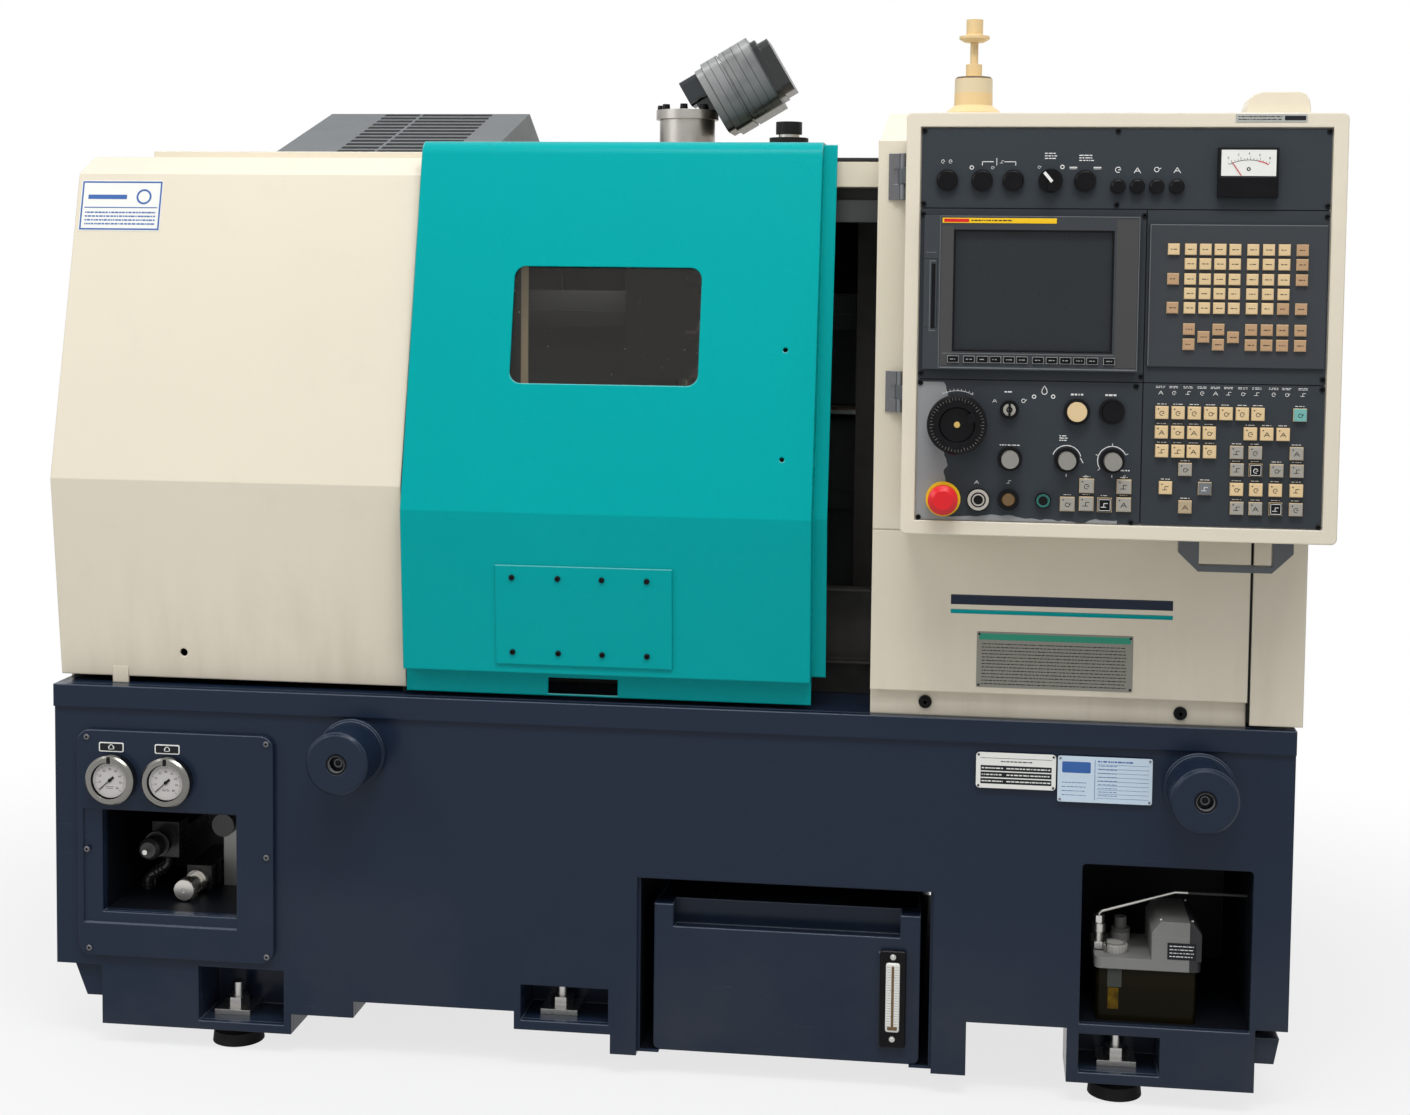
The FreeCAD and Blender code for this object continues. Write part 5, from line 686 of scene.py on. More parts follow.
    def figures(self, words, u, v, size, w=None):
        """Plain figures, raised on the plane and centred on a point."""
        low, high = w or self.w
        curve = bpy.data.curves.new("figures", "FONT")
        curve.body = words
        curve.size = size
        curve.align_x = "CENTER"
        curve.align_y = "CENTER"
        curve.extrude = (high - low) / 2
        curve.resolution_u = 2
        holder = add_object("figures", curve)
        bpy.context.view_layer.update()
        data = bpy.data.meshes.new_from_object(holder)
        data.transform(self.place @ Matrix.Translation((u, v, (low + high) / 2)))
        self.mesh.from_mesh(data)
        bpy.data.meshes.remove(data)
        bpy.data.objects.remove(holder)
        bpy.data.curves.remove(curve)

    def done(self, look, body="machine", slot=None):
        """Makes the object and gives it its material and its body. The slot is not used."""
        bmesh.ops.recalc_face_normals(self.mesh, faces=self.mesh.faces)
        data = bpy.data.meshes.new(self.name)
        self.mesh.to_mesh(data)
        self.mesh.free()
        obj = add_object(self.name, data, look)
        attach(obj, body)


# Control box

BOX = "control_box"
PANEL_Y = -148
KEYBOARD_Y = -152
PANEL = facing(PANEL_Y)
DISPLAY = facing(-160)
KEYBOARD = facing(KEYBOARD_Y)

# Places of the keys on the panel, with their looks
KEY_COLUMNS = (715, 737, 756, 775, 794, 817, 837, 857, 880)
KEY_ROWS = (
    (1224, "llllllllb"),
    (1205, ".lllllllb"),
    (1185, "blllllllb"),
    (1166, ".lllllll."),
    (1147, "bllllllbb"),
    (1119, ".b.b.bbbb"),
    (1109, "..b.b...."),
    (1099, ".b.b.bbbb"),
)
KEY_LOOKS = {"l": "ivory", "b": "brown_key"}
SQUARE_KEYS = (
    (584, 883, "grey_key"),
    (609, 884, "grey_key"),
    (633, 883, "black"),
    (658, 884, "grey_key"),
    (609, 908, "grey_key"),
    (658, 908, "grey_key"),
)
MODE_KEYS = (
    (1008, "ivory", (705, 726, 747, 768, 788, 809, 829)),
    (1008, "teal_key", (883,)),
    (982, "ivory", (705, 726, 747, 767, 820, 841, 862)),
    (957, "ivory", (706, 727, 747, 768)),
    (957, "grey_key", (803, 827, 880)),
    (934, "grey_key", (804, 855, 881)),
    (934, "black", (828,)),
    (933, "grey_key", (737,)),
    (908, "ivory", (712, 804, 829, 854, 881)),
    (908, "slate_key", (763,)),
    (883, "tan_key", (738,)),
    (883, "grey_key", (805, 829, 881)),
    (883, "black", (855,)),
)
SOFT_KEYS = (429, 450, 468, 485, 503, 520, 541, 559, 577, 595, 612, 634)
SOFT_KEY_Z = 1075
WHEEL = (436, 988)


def key_list():
    """Every key with its look, place, side, plane and height over that plane."""
    for z, row in KEY_ROWS:
        for x, kind in zip(KEY_COLUMNS, row):
            if kind != ".":
                yield KEY_LOOKS[kind], x, z, 14.4, KEYBOARD_Y, 3
    for x, z, look in SQUARE_KEYS:
        yield look, x, z, 18, PANEL_Y, 5
    for z, look, row in MODE_KEYS:
        for x in row:
            yield look, x, z, 16.4, PANEL_Y, 5


def key_faces():
    """Coloured faces on the caps, with a drawn sign on each."""
    groups = {}
    for seed, (look, *key) in enumerate(key_list(), 1):
        groups.setdefault(look, []).append((seed, *key))
    signs_dark = Piece("key_signs_dark", PANEL)
    signs_pale = Piece("key_signs_pale", PANEL)
    for look, keys in groups.items():
        caps = Piece("key_faces_" + look, PANEL)
        signs = signs_pale if look in ("black", "slate_key") else signs_dark
        for seed, x, z, side, y, proud in keys:
            foot = PANEL_Y - y + proud
            top = foot + 1.1
            ink = (top, top + 0.12)
            half = side / 2
            inner = half - 1.6
            caps.slab((x - half, x + half), (z - half, z + half), (foot, top), 1.5, 0.5)
            if y == KEYBOARD_Y:
                signs.script(x - 4.2, z - 1.6, 8.4, 3.2, 1, 1.1, seed, ink)
            else:
                signs.glyph(x, z - 0.8, side * 0.56, seed, ink)
                if look in ("ivory", "grey_key"):
                    signs.disc(x - half + 3.4, z + half - 3.4, 1, ink, sides=10)
            if look == "black":
                outline = rounded((x - inner, x + inner), (z - inner, z + inner), 0)
                for start, end in zip(outline, outline[1:] + outline[:1]):
                    signs.line(start, end, 0.7, ink)
        caps.done(look, BOX, "key_plastic")
    signs_dark.done("ink", BOX, "key_plastic")
    signs_pale.done("legend", BOX, "key_plastic")


def soft_keys():
    """The row of soft keys under the screen, with frames and print."""
    keys = Piece("soft_key_faces", DISPLAY)
    edges = Piece("soft_key_edges", DISPLAY, (2, 2.5))
    signs = Piece("soft_key_signs", DISPLAY, (2.9, 3))
    low, high = SOFT_KEY_Z - 4, SOFT_KEY_Z + 4
    for number, x in enumerate(SOFT_KEYS):
        keys.slab((x - 7, x + 7), (low, high), (2, 2.9), 1.2, 0.4)
        signs.script(x - 4, SOFT_KEY_Z - 1.5, 8, 3, 1, 1.2, 300 + number)
        edges.slabs((x - 7.6, x + 7.6, low - 0.6, low), (x - 7.6, x + 7.6, high, high + 0.6))
        edges.slabs((x - 7.6, x - 7, low, high), (x + 7, x + 7.6, low, high))
    keys.done("gloss_black", BOX)
    edges.done("dull_print", BOX, "grey_paint")
    signs.done("dull_print", BOX, "key_plastic")


# Marks on the panel: signs by place and size, lines by two points and a width, print by its box
PANEL_GLYPHS = (
    (411, 1338, 7), (421, 1338, 7), (476.5, 1330, 6), (537.8, 1331, 6), (641, 1328, 11),
    (666, 1327, 11), (691, 1328.5, 11), (717.5, 1327.5, 11), (485.5, 1019, 7), (523.5, 1019.8, 9),
    (608, 919.5, 6), (658, 920.4, 6), (463.4, 909, 7), (506.3, 910, 7), (489, 1337.5, 6),
)
PANEL_LINES = (
    (463, 1338, 478, 1338, 1), (463, 1338, 463, 1333, 1), (482, 1333, 482, 1343, 0.8),
    (492, 1338, 507, 1338, 1), (507, 1338, 507, 1333, 1), (577.6, 1331, 587.6, 1331, 1.3),
    (577.6, 1329, 587.6, 1329, 0.7), (609, 1331, 619, 1331, 1.3), (609, 1329, 619, 1329, 0.7),
)
PANEL_SCRIPTS = (
    (545, 1341, 16, 10, 3, 1.3, 61), (590, 1338.5, 19, 10, 3, 1.3, 62), (498, 1029, 12, 5, 1, 1.6, 63),
    (586, 1027.5, 16, 4, 1, 2.4, 64), (631, 1027.5, 16, 4, 1, 2.4, 65), (493, 958.5, 28, 3, 1, 1.4, 66),
    (572, 966.5, 11, 9, 3, 1.3, 67), (647, 927.5, 18, 3.5, 1, 1.6, 68),
)
ICONS = (703.4, 720.9, 739.1, 757.2, 774.3, 791.6, 809.7, 827.7, 849.3, 866.2, 887)
KNOBS_X = (582, 642)
KNOBS_Z = 942


def panel_legends():
    """White marks over the knobs, lamps and keys."""
    marks = Piece("panel_marks", PANEL, (0, 0.3))
    for seed, row in enumerate(PANEL_GLYPHS, 40):
        marks.glyph(*row, seed)
    for x, z in ((449.1, 1330.2), (568.2, 1331.4), (537.4, 1025.7), (562.6, 1026.2)):
        marks.ring(x, z, 1.7, 2.9, sides=16)
    marks.lines(*PANEL_LINES)
    for row in PANEL_SCRIPTS:
        marks.script(*row)
    marks.ring(551, 1032.5, 3, 4, sides=18, start=-215, stop=35)
    marks.lines((547.6, 1034.7, 551, 1040.5, 1), (554.4, 1034.7, 551, 1040.5, 1))
    marks.lines((600, 945, 604, 938, 1.2))
    for x, start, stop in zip(KNOBS_X, (15, 25), (160, 215)):
        marks.ring(x, KNOBS_Z, 18.6, 19.8, sides=60, start=start, stop=stop)
        marks.line((x, 919.5), (x, 923), 1)
    for angle in (25, 90, 160, 215):
        marks.spoke(KNOBS_X[1], KNOBS_Z, angle, 19, 23, 0.9)
    marks.ring(*WHEEL, 43.5, 44.2, sides=90, start=62, stop=118)
    for step in range(9):
        marks.spoke(*WHEEL, 64 + step * 6.5, 44.5, 46.5, 0.6)
    for number, x in enumerate(ICONS):
        marks.glyph(x, 1034, 7.5, 80 + number)
        marks.script(x - 6.5, 1040, 12, 3.6, 2, 0.7, 100 + number)
    for z, _, row in MODE_KEYS:
        for number, x in enumerate(row):
            marks.script(x - 6, z + 10, 12, 2.4, 1, 0.9, z + number)
    for x, z, _ in SQUARE_KEYS:
        marks.script(x - 5, z + 11, 10, 2.2, 1, 0.8, x)
    marks.done("legend", BOX, "panel_paint")


def panel_fixings():
    """Socket screws round the four plates, and black strips of painted shade behind the gaps where the
    plates meet.
    """
    columns = {1379: 640, 1282: 640, 1268: 677, 1055: 677, 1042: 671, 860: 668}
    places = [(x, z) for z, middle in columns.items() for x in (386, middle, 911)]
    Piece("panel_screws", PANEL).screws(3.6, *places).done("black", BOX)
    # Painted shade in the gaps between the plates
    joint_shade = Piece("plate_joint_shade", PANEL, (-0.9, -0.2))
    joint_shade.slabs((679.25, 680.75, 859, 1275.25))
    joint_shade.slabs((384, 913, 1275.25, 1276.75), (384, 913, 1046.25, 1047.75))
    joint_shade.done("gloss_black", BOX)


def panel_meter():
    """The meter, and the black caps of the upper row."""
    black = Piece("instrument_black", PANEL)
    black.slab((770, 845), (1293, 1318.5), (12, 13), 1, 0.4)
    black.rounds((808, 1306, 1.6, 3, 13, 13.4, 16))
    black.rounds(*((x, 1313, 13.2, 11.5, 7, 8.2, 32) for x in (417, 463, 504, 598)))
    black.rounds(*((x, 1306, 9.2, 7, 8, 9.4, 28) for x in (641, 666, 691, 717)))
    black.done("gloss_black", BOX)
    Piece("meter_face", PANEL, (12, 12.35)).slabs((772.5, 842.5, 1320, 1354)).done("white", BOX)
    pivot = (807.5, 1286)
    scale = Piece("meter_scale", PANEL, (12.35, 12.5))
    scale.ring(*pivot, 54.5, 55.2, sides=160, start=78, stop=117)
    for step in range(14):
        scale.spoke(*pivot, 63 + step * 4.15, 55, 57.5 if step % 3 else 59.5, 0.5)
    for step, figure in enumerate("86420"):
        scale.figures(figure, *around(*pivot, 63, 65 + step * 12.4), 4.6)
    scale.ring(807.5, 1329, 1.2, 2.6, sides=14)
    scale.done("ink", BOX)
    needle = Piece("meter_needle", PANEL)
    needle.ring(*pivot, 54.3, 55.6, (12.35, 12.55), sides=160, start=63, stop=78)
    needle.line((798.5, 1320), (786.5, 1337.5), 0.9, (12.9, 13.3))
    needle.done("red", BOX)


def display_edge_highlights():
    """Pale lines painted as highlights on the edges of the display, the card door's handle and the
    keyboard, painted shade round the screen's opening, and the card door's black handle.
    """
    # Pale lines painted as highlights on the display's edges and round the card door's handle
    highlight_lines = Piece("display_edge_highlights", DISPLAY, (0, 0.25))
    highlight_lines.slabs((409, 670.4, 1264.8, 1265.6), (409, 409.8, 1062, 1264.8), (669.6, 670.4, 1062, 1264.8))
    highlight_lines.slabs((411, 668.8, 1062.6, 1064.4), (414, 640, 1082, 1083), (390.5, 404.5, 1216.5, 1217.3))
    highlight_lines.slabs((396, 404.5, 1112, 1113), (396, 397, 1113, 1205), (396, 404.5, 1205, 1206))
    highlight_lines.done("rim", BOX)
    bars = Piece("display_bar", DISPLAY, (0, 0.25)).slabs((640.5, 668.8, 1066, 1262))
    bars.slabs((411, 427, 1066, 1252), w=(0, 0.2)).done("bar", BOX)
    # Painted shade round the screen's opening, and the card door's black handle
    shade_and_handle = Piece("screen_shade_and_handle", DISPLAY, (0, 0.3))
    shade_and_handle.slabs((427.4, 637.6, 1245.6, 1247.6), (427.4, 637.6, 1085.4, 1087.4))
    shade_and_handle.slabs((427.4, 429.4, 1087.4, 1245.6), (635.6, 637.6, 1087.4, 1245.6))
    shade_and_handle.slabs((398.6, 403.6, 1116, 1202))
    shade_and_handle.done("gloss_black", BOX)
    # Pale lines painted as highlights on the keyboard's top and left edges
    highlight_lines = Piece("keyboard_edge_highlights", KEYBOARD, (0, 0.25))
    highlight_lines.slabs((684.6, 911.4, 1255.4, 1256.4), (684.6, 685.6, 1070, 1255.4))
    highlight_lines.done("rim", BOX)


def display_faces():
    """The printed strip over the screen, and the screen."""
    Piece("display_strip", DISPLAY, (0, 0.4)).slabs((412, 562, 1256.2, 1263)).done("yellow", BOX)
    marks = Piece("display_strip_marks", DISPLAY, (0.4, 0.5))
    marks.slabs((414, 447, 1257.4, 1261.8)).done("red", BOX)
    marks = Piece("display_strip_print", DISPLAY, (0.4, 0.5))
    marks.script(450, 1258, 54, 3.4, 1, 1.6, 7).done("ink", BOX)
    screen = Piece("screen_glass", DISPLAY, (-6.95, -6.4))
    screen.slabs((429.6, 635.4, 1087.6, 1245.4)).done("screen", BOX)


JACK = (466, 886)
LAMP = (506, 887)
GREEN = (552, 887)
STOP = (419, 886)
SWITCH = (505, 1008)
# Round pieces by name and look, with the forms of each
ROUND_PIECES = (
    ("lamp_rings", "pearl", (*JACK, 10.2, 14.2, 0.2, 8.8, 48), (*JACK, 6.4, 8.2, 7, 9.2, 40)),
    ("jack_ring", "gloss_black", (*JACK, 8.2, 10.2, 7, 8.2, 40), (*JACK, 14.2, 15.4, 0.2, 8.2, 48)),
    ("key_switch_ring", "pearl", (*SWITCH, 4.2, 8.2, 8, 9.4, 32), (*SWITCH, 2.2, 2.2, 8, 8.6, 16)),
    ("jack_bore", "gloss_black", (*JACK, 7, 7, 7, 7.3, 32), (*LAMP, 9.6, 14.3, 0.2, 8.6, 40)),
    ("dark_lens", "brown_lens", (*LAMP, 9.4, 7.6, 7, 9.6, 36)),
    ("green_lens", "green", (*GREEN, 6.2, 9, 0.2, 8.8, 24)),
    ("green_lens_bore", "gloss_black", (*GREEN, 9, 10.6, 0.2, 8, 32), (*GREEN, 6.2, 6.2, 7, 7.6, 24)),
    ("stop_collar", "yellow", (*STOP, 21, 23.2, 0.1, 8.6, 48), (*STOP, 10, 23.2, 8.1, 8.7, 48)),
)


def lamps_and_dials():
    """Lower row of lamps, the wheel's marks and the selector's bar."""
    for name, look, *rows in ROUND_PIECES:
        Piece(name, PANEL).rounds(*rows).done(look, BOX)
    dial = Piece("wheel_marks", PANEL, (34, 34.12))
    for step in range(50):
        dial.spoke(*WHEEL, step * 7.2, 33 if step % 5 else 31, 36, 0.35)
    dial.done("grey_key", "hand_wheel", "white_plastic")
    Piece("wheel_centre", PANEL).rounds((*WHEEL, 4.6, 4, 28, 29.6, 24)).done("brass", "hand_wheel")
    knob = turned((553, PANEL_Y - 20, 1313), Matrix.Rotation(math.pi / 2, 4, "X"))
    Piece("selector_mark", knob).line((1.5, -2), (-9, 10.5), 4, (0, 0.8)).done("white", "selector")


def box_plate():
    """The small plate on the box's upper edge."""
    edge = facing(-150)
    Piece("box_plate", edge).slab((790.5, 882), (1390.5, 1401.5), (0, 0.5), 1).done("tin", BOX)
    marks = Piece("box_plate_marks", edge, (0.5, 0.6)).script(794, 1392.5, 56, 7, 2, 1.3, 21)
    marks.slab((853, 880), (1393, 1399), radius=1).done("ink", BOX)


# Covers and door

def cover_details():
    """Bolts, plate and stripes of the right cover, and a black strip of painted shade in its seam."""
    bolts = Piece("cover_bolts", facing(12))
    for place in ((396.8, 574.8), (755.7, 571.5)):
        bolts.disc(*place, 9.5, (0, 3), sides=28)
        bolts.screws(6.5, place, w=3)
    bolts.done("gloss_black")
    front = facing(0)
    Piece("rule_plate", front).slab((468.6, 687.3), (601, 681), (0, 0.9), 1.5, 0.3).done("plate")
    Piece("rule_plate_header", front, (0.9, 1)).slabs((472, 684, 669.5, 678.5)).done("green_ink")
    marks = Piece("rule_plate_lines", front, (0.9, 1)).script(476, 604, 202, 62, 13, 1.3, 31)
    for place in grid((472, 684), (604.5, 677.5)):
        marks.disc(*place, 1.7, (0.9, 1.8), sides=14)
    marks.done("ink")
    # Painted shade: a black strip behind the seam between the covers
    Piece("cover_seam_shade", front, (-4, -3)).slabs((846.4, 849.6, 563, 1370)).done("gloss_black")
    Piece("cover_stripe_broad", front, (0, 0.25)).slabs((431, 741, 719, 733)).done("navy")
    Piece("cover_stripe_thin", front, (0, 0.25)).slabs((431, 741, 706, 712)).done("teal")


def cover_label():
    """Plate with a blue border on the left cover's upper face."""
    scale = math.hypot(111, 461) / 461
    low, high = (1240.5 - 868) * scale, (1318 - 868) * scale
    left, right = -909, -778.5
    slope = leaning((-8, 868), (103, 1329))
    Piece("cover_label", slope).slab((left, right), (low, high), (0, 0.5), 3).done("white")
    marks = Piece("cover_label_marks", slope, (0.5, 0.62))
    marks.slabs((left + 1.5, right - 1.5, low + 1.5, low + 4))
    marks.slabs((left + 1.5, right - 1.5, high - 4, high - 1.5))
    marks.slabs((left + 1.5, left + 4, low + 4, high - 4), (right - 4, right - 1.5, low + 4, high - 4))
    marks.slabs((left + 7, right - 7, low + 36, low + 37.6), (left + 12, left + 74, low + 50, low + 57))
    marks.script(left + 9, low + 8, right - left - 18, 24, 4, 2.4, 91)
    marks.ring((left + right) / 2 + 36, low + 54, 9, 12)
    marks.done("blue_ink", slot="grey_paint")


def door_screws():
    """Screw heads of the access plate on the door's lower face."""
    foot_z = 598
    slope = math.cos(math.atan2(20, 238))
    places = [(x, (z - foot_z) / slope) for z in (741, 630) for x in (-204, -136, -71, -5)]
    plane = leaning((-5, foot_z), (-25, 836))
    Piece("door_screws", plane).screws(4.2, *places, w=3.2).done("black", "door")


def guard_bar():
    """Pale bar of the inner guard that stands on the sill behind the door."""
    Piece("guard_bar", facing(146)).slab((-229, -218), (717, 1290), (-4, 0), 1, 0.4).done("cream")


def hood_slot_shade():
    """Painted shade in the hood's slots: dark patches, row by row up to the ridge."""
    foot, ridge = (464, 1357), (900, 1482)
    scale = math.dist(foot, ridge) / (ridge[0] - foot[0])
    slot_shade = Piece("hood_slot_shade", leaning(foot, ridge))
    for row in range(-1, 14):
        low = (530 + 27 * row - foot[0]) * scale
        for u in ((-660, -593), (-587, -453)):
            slot_shade.slab(u, (low - 2, low + 13), (0, 0.4), 2)
    slot_shade.done("rubber")


def flange_screws():
    """Socket screws on the flange that carries the motor on the roof."""
    screws = Piece("flange_screws", lying(1466))
    for angle in (180, 225, 270, 315):
        screws.disc(*around(-43, 625, 46, angle), 7, (0, 9), 6.2, sides=24)
    screws.done("gloss_black", "saddle_unit")


def far_side_details():
    """Screws on the covers' back, and screws and slots on the right side, the slots drawn as dark patches
    of painted shade.
    """
    back = facing(1190) @ Matrix.Rotation(math.pi, 4, "Y")
    places = [(-x, z) for x in (-895, -640, -390, 334, 580, 826) for z in (590, 960, 1330)]
    Piece("back_screws", back).screws(6, *places).done("dark_metal")
    right = Matrix.Translation((923 * MM, 0, 0)) @ facing(0) @ Matrix.Rotation(math.pi / 2, 4, "Y")
    vent_shade = Piece("side_vent_shade", right)
    # Painted shade: dark patches standing for the slots
    for row in range(9):
        for y in (840, 980):
            vent_shade.slab((y, y + 120), (640 + row * 16, 646 + row * 16), (0, 0.5), 2.5)
    vent_shade.done("rubber")
    places = [(y, z) for y in (30, 595, 1160) for z in (590, 965, 1345)]
    Piece("side_screws", right).screws(6, *places).done("dark_metal")


def roof_cable():
    """The cable that lies on the roof, from the filler cap to the right cover."""
    route = ((150, 424), (146, 330), (152, 225), (232, 208), (318, 212))
    height = 1358
    data = bpy.data.curves.new("roof_cable_cord", "CURVE")
    data.dimensions = "3D"
    data.bevel_depth = 5 * MM
    data.bevel_resolution = 4
    spline = data.splines.new("NURBS")
    spline.points.add(len(route) - 1)
    for spot, (x, y) in zip(spline.points, route):
        spot.co = (*machine(x, y, height), 1)
    spline.order_u = 3
    spline.use_endpoint_u = True
    cable = add_object("roof_cable_cord", data, "rubber")
    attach(cable, "machine")
    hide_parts("roof_cable")


# Base

GAUGES_X = (-819, -731)
GAUGES_Z = 415


def gauge_faces():
    """Dials, needles and the small framed labels over the gauges."""
    front = facing(-9)
    dials = Piece("gauge_dials", front, (12, 12.4))
    ticks = Piece("gauge_ticks", front, (12.4, 12.5))
    hubs = Piece("gauge_needles", front, (13, 13.6))
    frames = Piece("gauge_label_frames", front)
    plates = Piece("gauge_labels", front)
    signs = Piece("gauge_signs", front, (1, 1.15))
    for number, x in enumerate(GAUGES_X):
        centre = (x, GAUGES_Z)
        dials.disc(*centre, 27.6, sides=48)
        hubs.slab((x - 2.6, x + 2.6), (GAUGES_Z + 26.5, GAUGES_Z + 36.5), (12.6, 19.4), 1.6, 0.5)
        hubs.ring(*centre, 26.6, 28.2, (12.4, 13.2), sides=60)
        for step in range(41):
            inner, width = (22.3, 0.3) if step % 5 else (20.5, 0.5)
            ticks.spoke(*centre, 225 - step * 6.75, inner, 24.3, width)
        for step in range(9):
            ticks.figures(str(step * 10), *around(*centre, 16.6, 225 - step * 33.75), 4.6)
        ticks.script(x - 6, GAUGES_Z - 13.5, 12, 5, 2, 0.8, 50 + number)
        hubs.disc(*centre, 2.6, (12.6, 14.4), sides=20)
        hubs.spoke(*centre, 221, -8, 0, 3.4)
        hubs.spoke(*centre, 221, 0, 21.5, 1.1)
        x -= 2.5
        frames.slab((x - 19.5, x + 19.5), (455.5, 470), (0, 0.8), 2.5)
        plates.slab((x - 17.8, x + 17.8), (457.2, 468.3), (0.8, 1), 1.6)
        signs.slabs((x - 4.6, x - 2.8, 459.5, 464.5), (x + 2.8, x + 4.6, 459.5, 464.5))
        signs.ring(x, 464, 2, 3.2, sides=14, stop=180)
        signs.lines((x - 4.6, 459.8, x + 4.6, 459.8, 1))
    dials.done("dial")
    ticks.done("ink")
    hubs.done("black")
    frames.done("legend")
    plates.done("ink")
    signs.done("legend")


def gauge_panel_screws():
    """Screw heads at the gauge panel's corners and half way down."""
    places = ((-860, 477), (-579, 477), (-861, 305), (-579, 305), (-858.5, 153), (-579, 153))
    Piece("gauge_panel_screws", facing(-9)).screws(4.6, *places).done("dark_metal")


BASE = facing(-5)


def left_base_plate():
    """White plate with dark rows on the base's front."""
    Piece("base_plate_left", BASE).slab((471, 583.5), (457, 508.5), (0, 0.9), 5, 0.3).done("white")
    dark = Piece("base_plate_left_rows", BASE, (0.9, 1))
    pale = Piece("base_plate_left_print", BASE, (1, 1.1))
    for row in range(3):
        low = 463.5 + row * 9.4
        dark.slabs((477.5, 577.5, low, low + 7.6))
        pale.script(479, low + 1.2, 30, 5.2, 1, 1.8, 42 + row)
        pale.script(514, low + 1.2, 62, 5.2, 1, 1.8, 52 + row)
    dark.lines((477.5, 500.5, 577.5, 500.5, 0.6))
    dark.script(506, 494, 44, 4, 1, 1.6, 41)
    for place in grid((474.5, 580), (460.5, 505)):
        dark.disc(*place, 1.6, (0.9, 1.9), sides=14)
    dark.done("ink")
    pale.done("white")


def right_base_plate():
    """Pale blue plate beside it, with a mark and ruled lines."""
    Piece("base_plate_right", BASE).slab((586, 718), (442, 508), (0, 0.6), 3).done("pale_blue")
    rows = Piece("base_plate_right_rows", BASE, (0.6, 0.7))
    rows.lines((638, 446, 638, 504, 0.7))
    for level in range(449, 503, 6):
        rows.lines((641, level, 713, level, 0.4))
    rows.script(642, 499, 50, 5, 1, 2.2, 71)
    rows.script(643, 450, 26, 48, 9, 0.9, 72)
    rows.script(592, 449, 34, 24, 4, 0.9, 73)
    rows.slab((592, 632), (484, 500), radius=2)
    rows.done("blue_ink", slot="white_plastic")
    rivets = Piece("base_plate_right_rivets", BASE, (0.6, 1.6))
    for place in grid((589.5, 714.5), (445.5, 504.5)):
        rivets.disc(*place, 1.6, sides=14)
    rivets.done("dark_metal")


def sight_gauge():
    """Level gauge on the coolant tank: frame, glass, scale and float rod."""
    face = facing(8)
    centre = 357.5
    Piece("sight_frame", face).slab((338.5, 376.5), (66, 209), (0, 5), 4, 1.4).done("gloss_black", "tank")
    screws = Piece("sight_screws", face)
    for level in (79, 200.5):
        screws.rounds((centre, level, 4.8, 4, 5, 6.6, 24), (centre, level, 2.6, 2, 6.6, 7.6, 16))
    screws.done("steel", "tank")
    Piece("sight_tube", face).slab((347.5, 367.5), (90, 192), (5, 8), 3.5, 1.4).done("white", "tank")
    marks = Piece("sight_marks", face, (8, 8.15))
    for step in range(25):
        level = 95 + step * 3.8
        width = 5 if step % 5 else 6.6
        marks.lines((349.2, level, 349.2 + width, level, 0.6), (365.8 - width, level, 365.8, level, 0.6))
    marks.done("grey_key", "tank", "black_plastic")
    rod = Piece("sight_rod", face)
    rod.slab((centre - 1.9, centre + 1.9), (97, 188), (8, 9), 1.5, 0.6)
    rod.slab((centre - 7, centre + 7), (93.5, 98.5), (8, 9.2), 1, 0.4)
    rod.done("brown_lens", "tank")


def boss_inserts():
    """Threaded inserts in the mouths of the two front lifting bosses, with grey rings in them painted as
    highlights.
    """
    mouth = facing(-86)
    inserts = Piece("boss_inserts", mouth)
    highlight_rings = Piece("boss_insert_highlights", mouth)
    for centre in ((-447, 470), (783, 470)):
        inserts.rounds((*centre, 12.6, 14.9, -8, 0.5, 40), (*centre, 8.7, 14.9, -14, -11, 40))
        inserts.rounds((*centre, 9, 9, -15, -12, 32))
        # Grey rings painted as highlights in each mouth
        highlight_rings.rounds((*centre, 11.6, 12.6, -8, -0.6, 40), (*centre, 4.6, 6.4, -12, -10, 32))
    inserts.done("gloss_black", slot="steel")
    highlight_rings.done("rim", slot="steel")


def straight(start, end):
    """Points about 2 mm apart from a start up to, and without, an end."""
    steps = max(1, int((end - start).length / 2))
    return [start.lerp(end, index / steps) for index in range(steps)]


def hose_samples(points, bend):
    """Points along straight runs joined by arcs of one radius."""
    spots = [Vector(point) for point in points]
    samples = []
    start = spots[0]
    for previous, corner, following in zip(spots, spots[1:], spots[2:]):
        before, after = ((spot - corner).normalized() for spot in (previous, following))
        half = (math.pi - before.angle(after)) / 2
        centre = corner + (before + after).normalized() * (bend / math.cos(half))
        first, last = (corner + side * bend * math.tan(half) for side in (before, after))
        steps = max(2, int(half * bend))
        arc = [centre + (first - centre).slerp(last - centre, index / steps) for index in range(steps)]
        samples += straight(start, first) + arc
        start = last
    return samples + straight(start, spots[-1]) + [spots[-1]]


def valve_details():
    """Ribs of the conduit and marks of the flow valve behind the hatch."""
    samples = hose_samples([(-790, 130, 262), (-790, 130, 244), (-818, 116, 226), (-818, 116, 209)], 11)
    ribs = Piece("conduit_ribs", Matrix.Identity(4), (-1.3, 1.3))
    rib_pitch = 5.2
    travelled = 0
    for here, there in zip(samples, samples[1:]):
        travelled += (there - here).length
        if travelled >= rib_pitch:
            travelled = 0
            ribs.place = turned(here, (there - here).to_track_quat("Z", "Y").to_matrix().to_4x4())
            ribs.disc(0, 0, 11.8, top=10.4, sides=20)
    ribs.done("hose")
    knob = Piece("flow_knob_ring", facing(56), (-20, -3))
    centre = (-735, 227)
    knob.ring(*centre, 3, 4.2, (0, 0.5), sides=24)
    for step in range(36):
        knob.spoke(*centre, step * 10, 15.7, 16.5, 1.2)
    knob.done("steel")


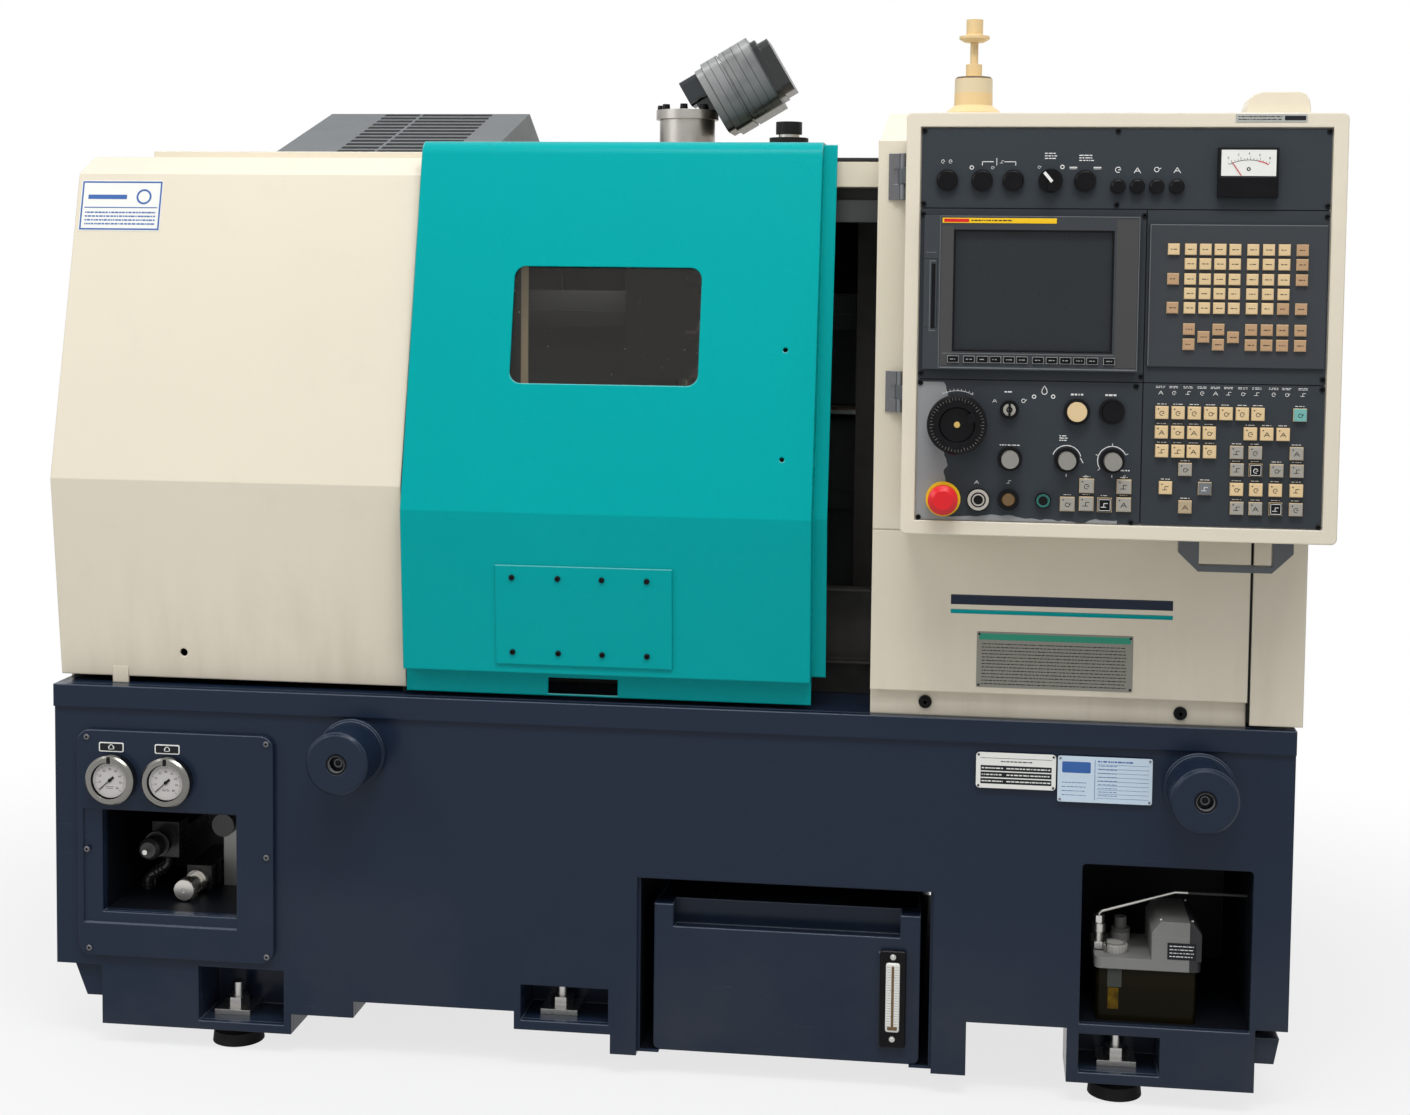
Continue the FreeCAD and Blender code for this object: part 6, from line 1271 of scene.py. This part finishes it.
def lubricator_details():
    """Nameplate, cap grooves, lid screws and line nuts of the oil pump."""
    front = facing(18)
    Piece("pump_plate", front).slab((747, 787), (214, 238), (0, 0.6), 1).done("ink")
    Piece("pump_plate_marks", front, (0.6, 0.7)).script(750, 216, 34, 20, 4, 1.3, 17).done("legend")
    cap = Piece("pump_cap_top", lying(224), (-10, -1))
    centre = (676, 50)
    cap.ring(*centre, 12.5, 15.5, (0, 1.4), sides=40)
    for step in range(24):
        cap.spoke(*centre, step * 15, 16.6, 17.9, 1.6)
    cap.done("pump_grey")
    corners = grid((738, 782), (26, 126))
    Piece("pump_lid_screws", lying(268)).screws(2.8, *corners).done("steel")
    line = (652, 58)
    nuts = Piece("line_nuts", lying(212)).prism(circle(*line, 11.6, 6), (2, 12))
    nuts.prism(circle(*line, 8.4, 6), (40, 50)).done("steel")


for step in (
    key_faces, soft_keys, panel_legends, panel_fixings, panel_meter, display_edge_highlights, display_faces,
    lamps_and_dials, box_plate, cover_details, door_screws, gauge_faces, gauge_panel_screws,
    left_base_plate, right_base_plate, sight_gauge, boss_inserts, flange_screws, roof_cable,
    hood_slot_shade, guard_bar, far_side_details, cover_label, valve_details, lubricator_details,
):
    step()


# Studio and camera

def seen_rays(tree):
    """1 for rays from the camera, off metal and through glass."""
    path = put(tree, "LightPath").outputs
    seen = {0: path["Is Camera Ray"], 1: path["Is Glossy Ray"]}
    first = put(tree, "Math", seen, operation="MAXIMUM").outputs[0]
    seen = {0: first, 1: path["Is Transmission Ray"]}
    return put(tree, "Math", seen, operation="MAXIMUM").outputs[0]


def soft_world():
    """White for the camera, a soft even grey for the light."""
    world = bpy.data.worlds.new("studio")
    world.use_nodes = True
    bpy.context.scene.world = world
    tree = world.node_tree
    tree.nodes.clear()
    seen = put(tree, "Background", {"Color": (1, 1, 1, 1), "Strength": 1}).outputs[0]
    lit = put(tree, "Background", {"Color": (0.97, 0.98, 1, 1), "Strength": 0.46}).outputs[0]
    mix = put(tree, "MixShader", {"Fac": seen_rays(tree), 1: lit, 2: seen})
    put(tree, "OutputWorld", {"Surface": mix.outputs[0]})


def studio_floor():
    """Pale floor that fades to white away from the machine."""
    half = 14
    mesh = bpy.data.meshes.new("studio_floor")
    corners = [(-half, -half, 0), (half, -half, 0), (half, half, 0), (-half, half, 0)]
    mesh.from_pydata(corners, [], [(0, 1, 2, 3)])
    shader = Shader("floor_white", (0.62, 0.62, 0.62), 0.9)
    shader.feed({"Specular IOR Level": 0.1})
    tree = shader.tree
    white = put(tree, "Emission", {"Strength": 1}).outputs[0]
    squash = put(tree, "VectorMath", {0: shader.place, 1: (0.8, 1, 0)}, operation="MULTIPLY")
    reach = put(tree, "VectorMath", {0: squash.outputs[0]}, operation="LENGTH").outputs["Value"]
    limits = {"Value": reach, "From Min": 0.7, "From Max": 1.9, "To Min": 0.76, "To Max": 1}
    fade = put(tree, "MapRange", limits, interpolation_type="SMOOTHSTEP").outputs["Result"]
    amount = shader.product(fade, seen_rays(tree))
    mix = put(tree, "MixShader", {"Fac": amount, 1: shader.shader.outputs[0], 2: white})
    feed(tree, tree.nodes["Material Output"], {"Surface": mix.outputs[0]})
    mesh.materials.append(shader.material)
    return add_object("studio_floor", mesh)


def soft_light(name, place, target, size, power):
    """A rectangular lamp that shines towards a target."""
    data = bpy.data.lights.new(name, "AREA")
    data.shape = "RECTANGLE"
    data.size, data.size_y = size
    data.energy = power
    light = add_object(name, data)
    light.location = place
    light.rotation_euler = (Vector(target) - Vector(place)).to_track_quat("-Z", "Y").to_euler()
    return light


def photograph_camera():
    """The photograph's camera, with its focal length and centre in pixels."""
    yaw, pitch, roll = (math.radians(angle) for angle in (7.43, 3.59, 0.62))
    focal, centre_x, centre_y = 2036, 705, 400
    width, height = 1410, 1115
    data = bpy.data.cameras.new("photograph_camera")
    data.sensor_width = 36
    data.lens = focal / width * data.sensor_width
    data.shift_x = (width / 2 - centre_x) / width
    data.shift_y = -(height / 2 - centre_y) / width
    data.clip_end = 100
    camera = add_object("photograph_camera", data)
    view = Matrix.Translation(machine(452.6, -2900, 1187))
    for angle, axis in ((yaw, "Z"), (math.pi / 2 - pitch, "X"), (roll, "Z")):
        view @= Matrix.Rotation(angle, 4, axis)
    camera.matrix_world = view
    bpy.context.scene.camera = camera


soft_world()
stage = [
    studio_floor(),
    soft_light("key_light", (0.7, -2.7, 4.6), (0, -0.3, 0.8), (3.6, 2.4), 90),
    soft_light("strip_light", (0.5, -2.6, 4.5), (0, -0.3, 0.8), (2.2, 0.35), 60),
    soft_light("left_light", (-3.4, -2.2, 3), (0, 0, 0.8), (2.4, 2.4), 48),
    soft_light("top_light", (0, 0.2, 4.2), (0, 0, 1), (3, 3), 22),
]
photograph_camera()
bpy.context.scene.view_settings.view_transform = "Standard"
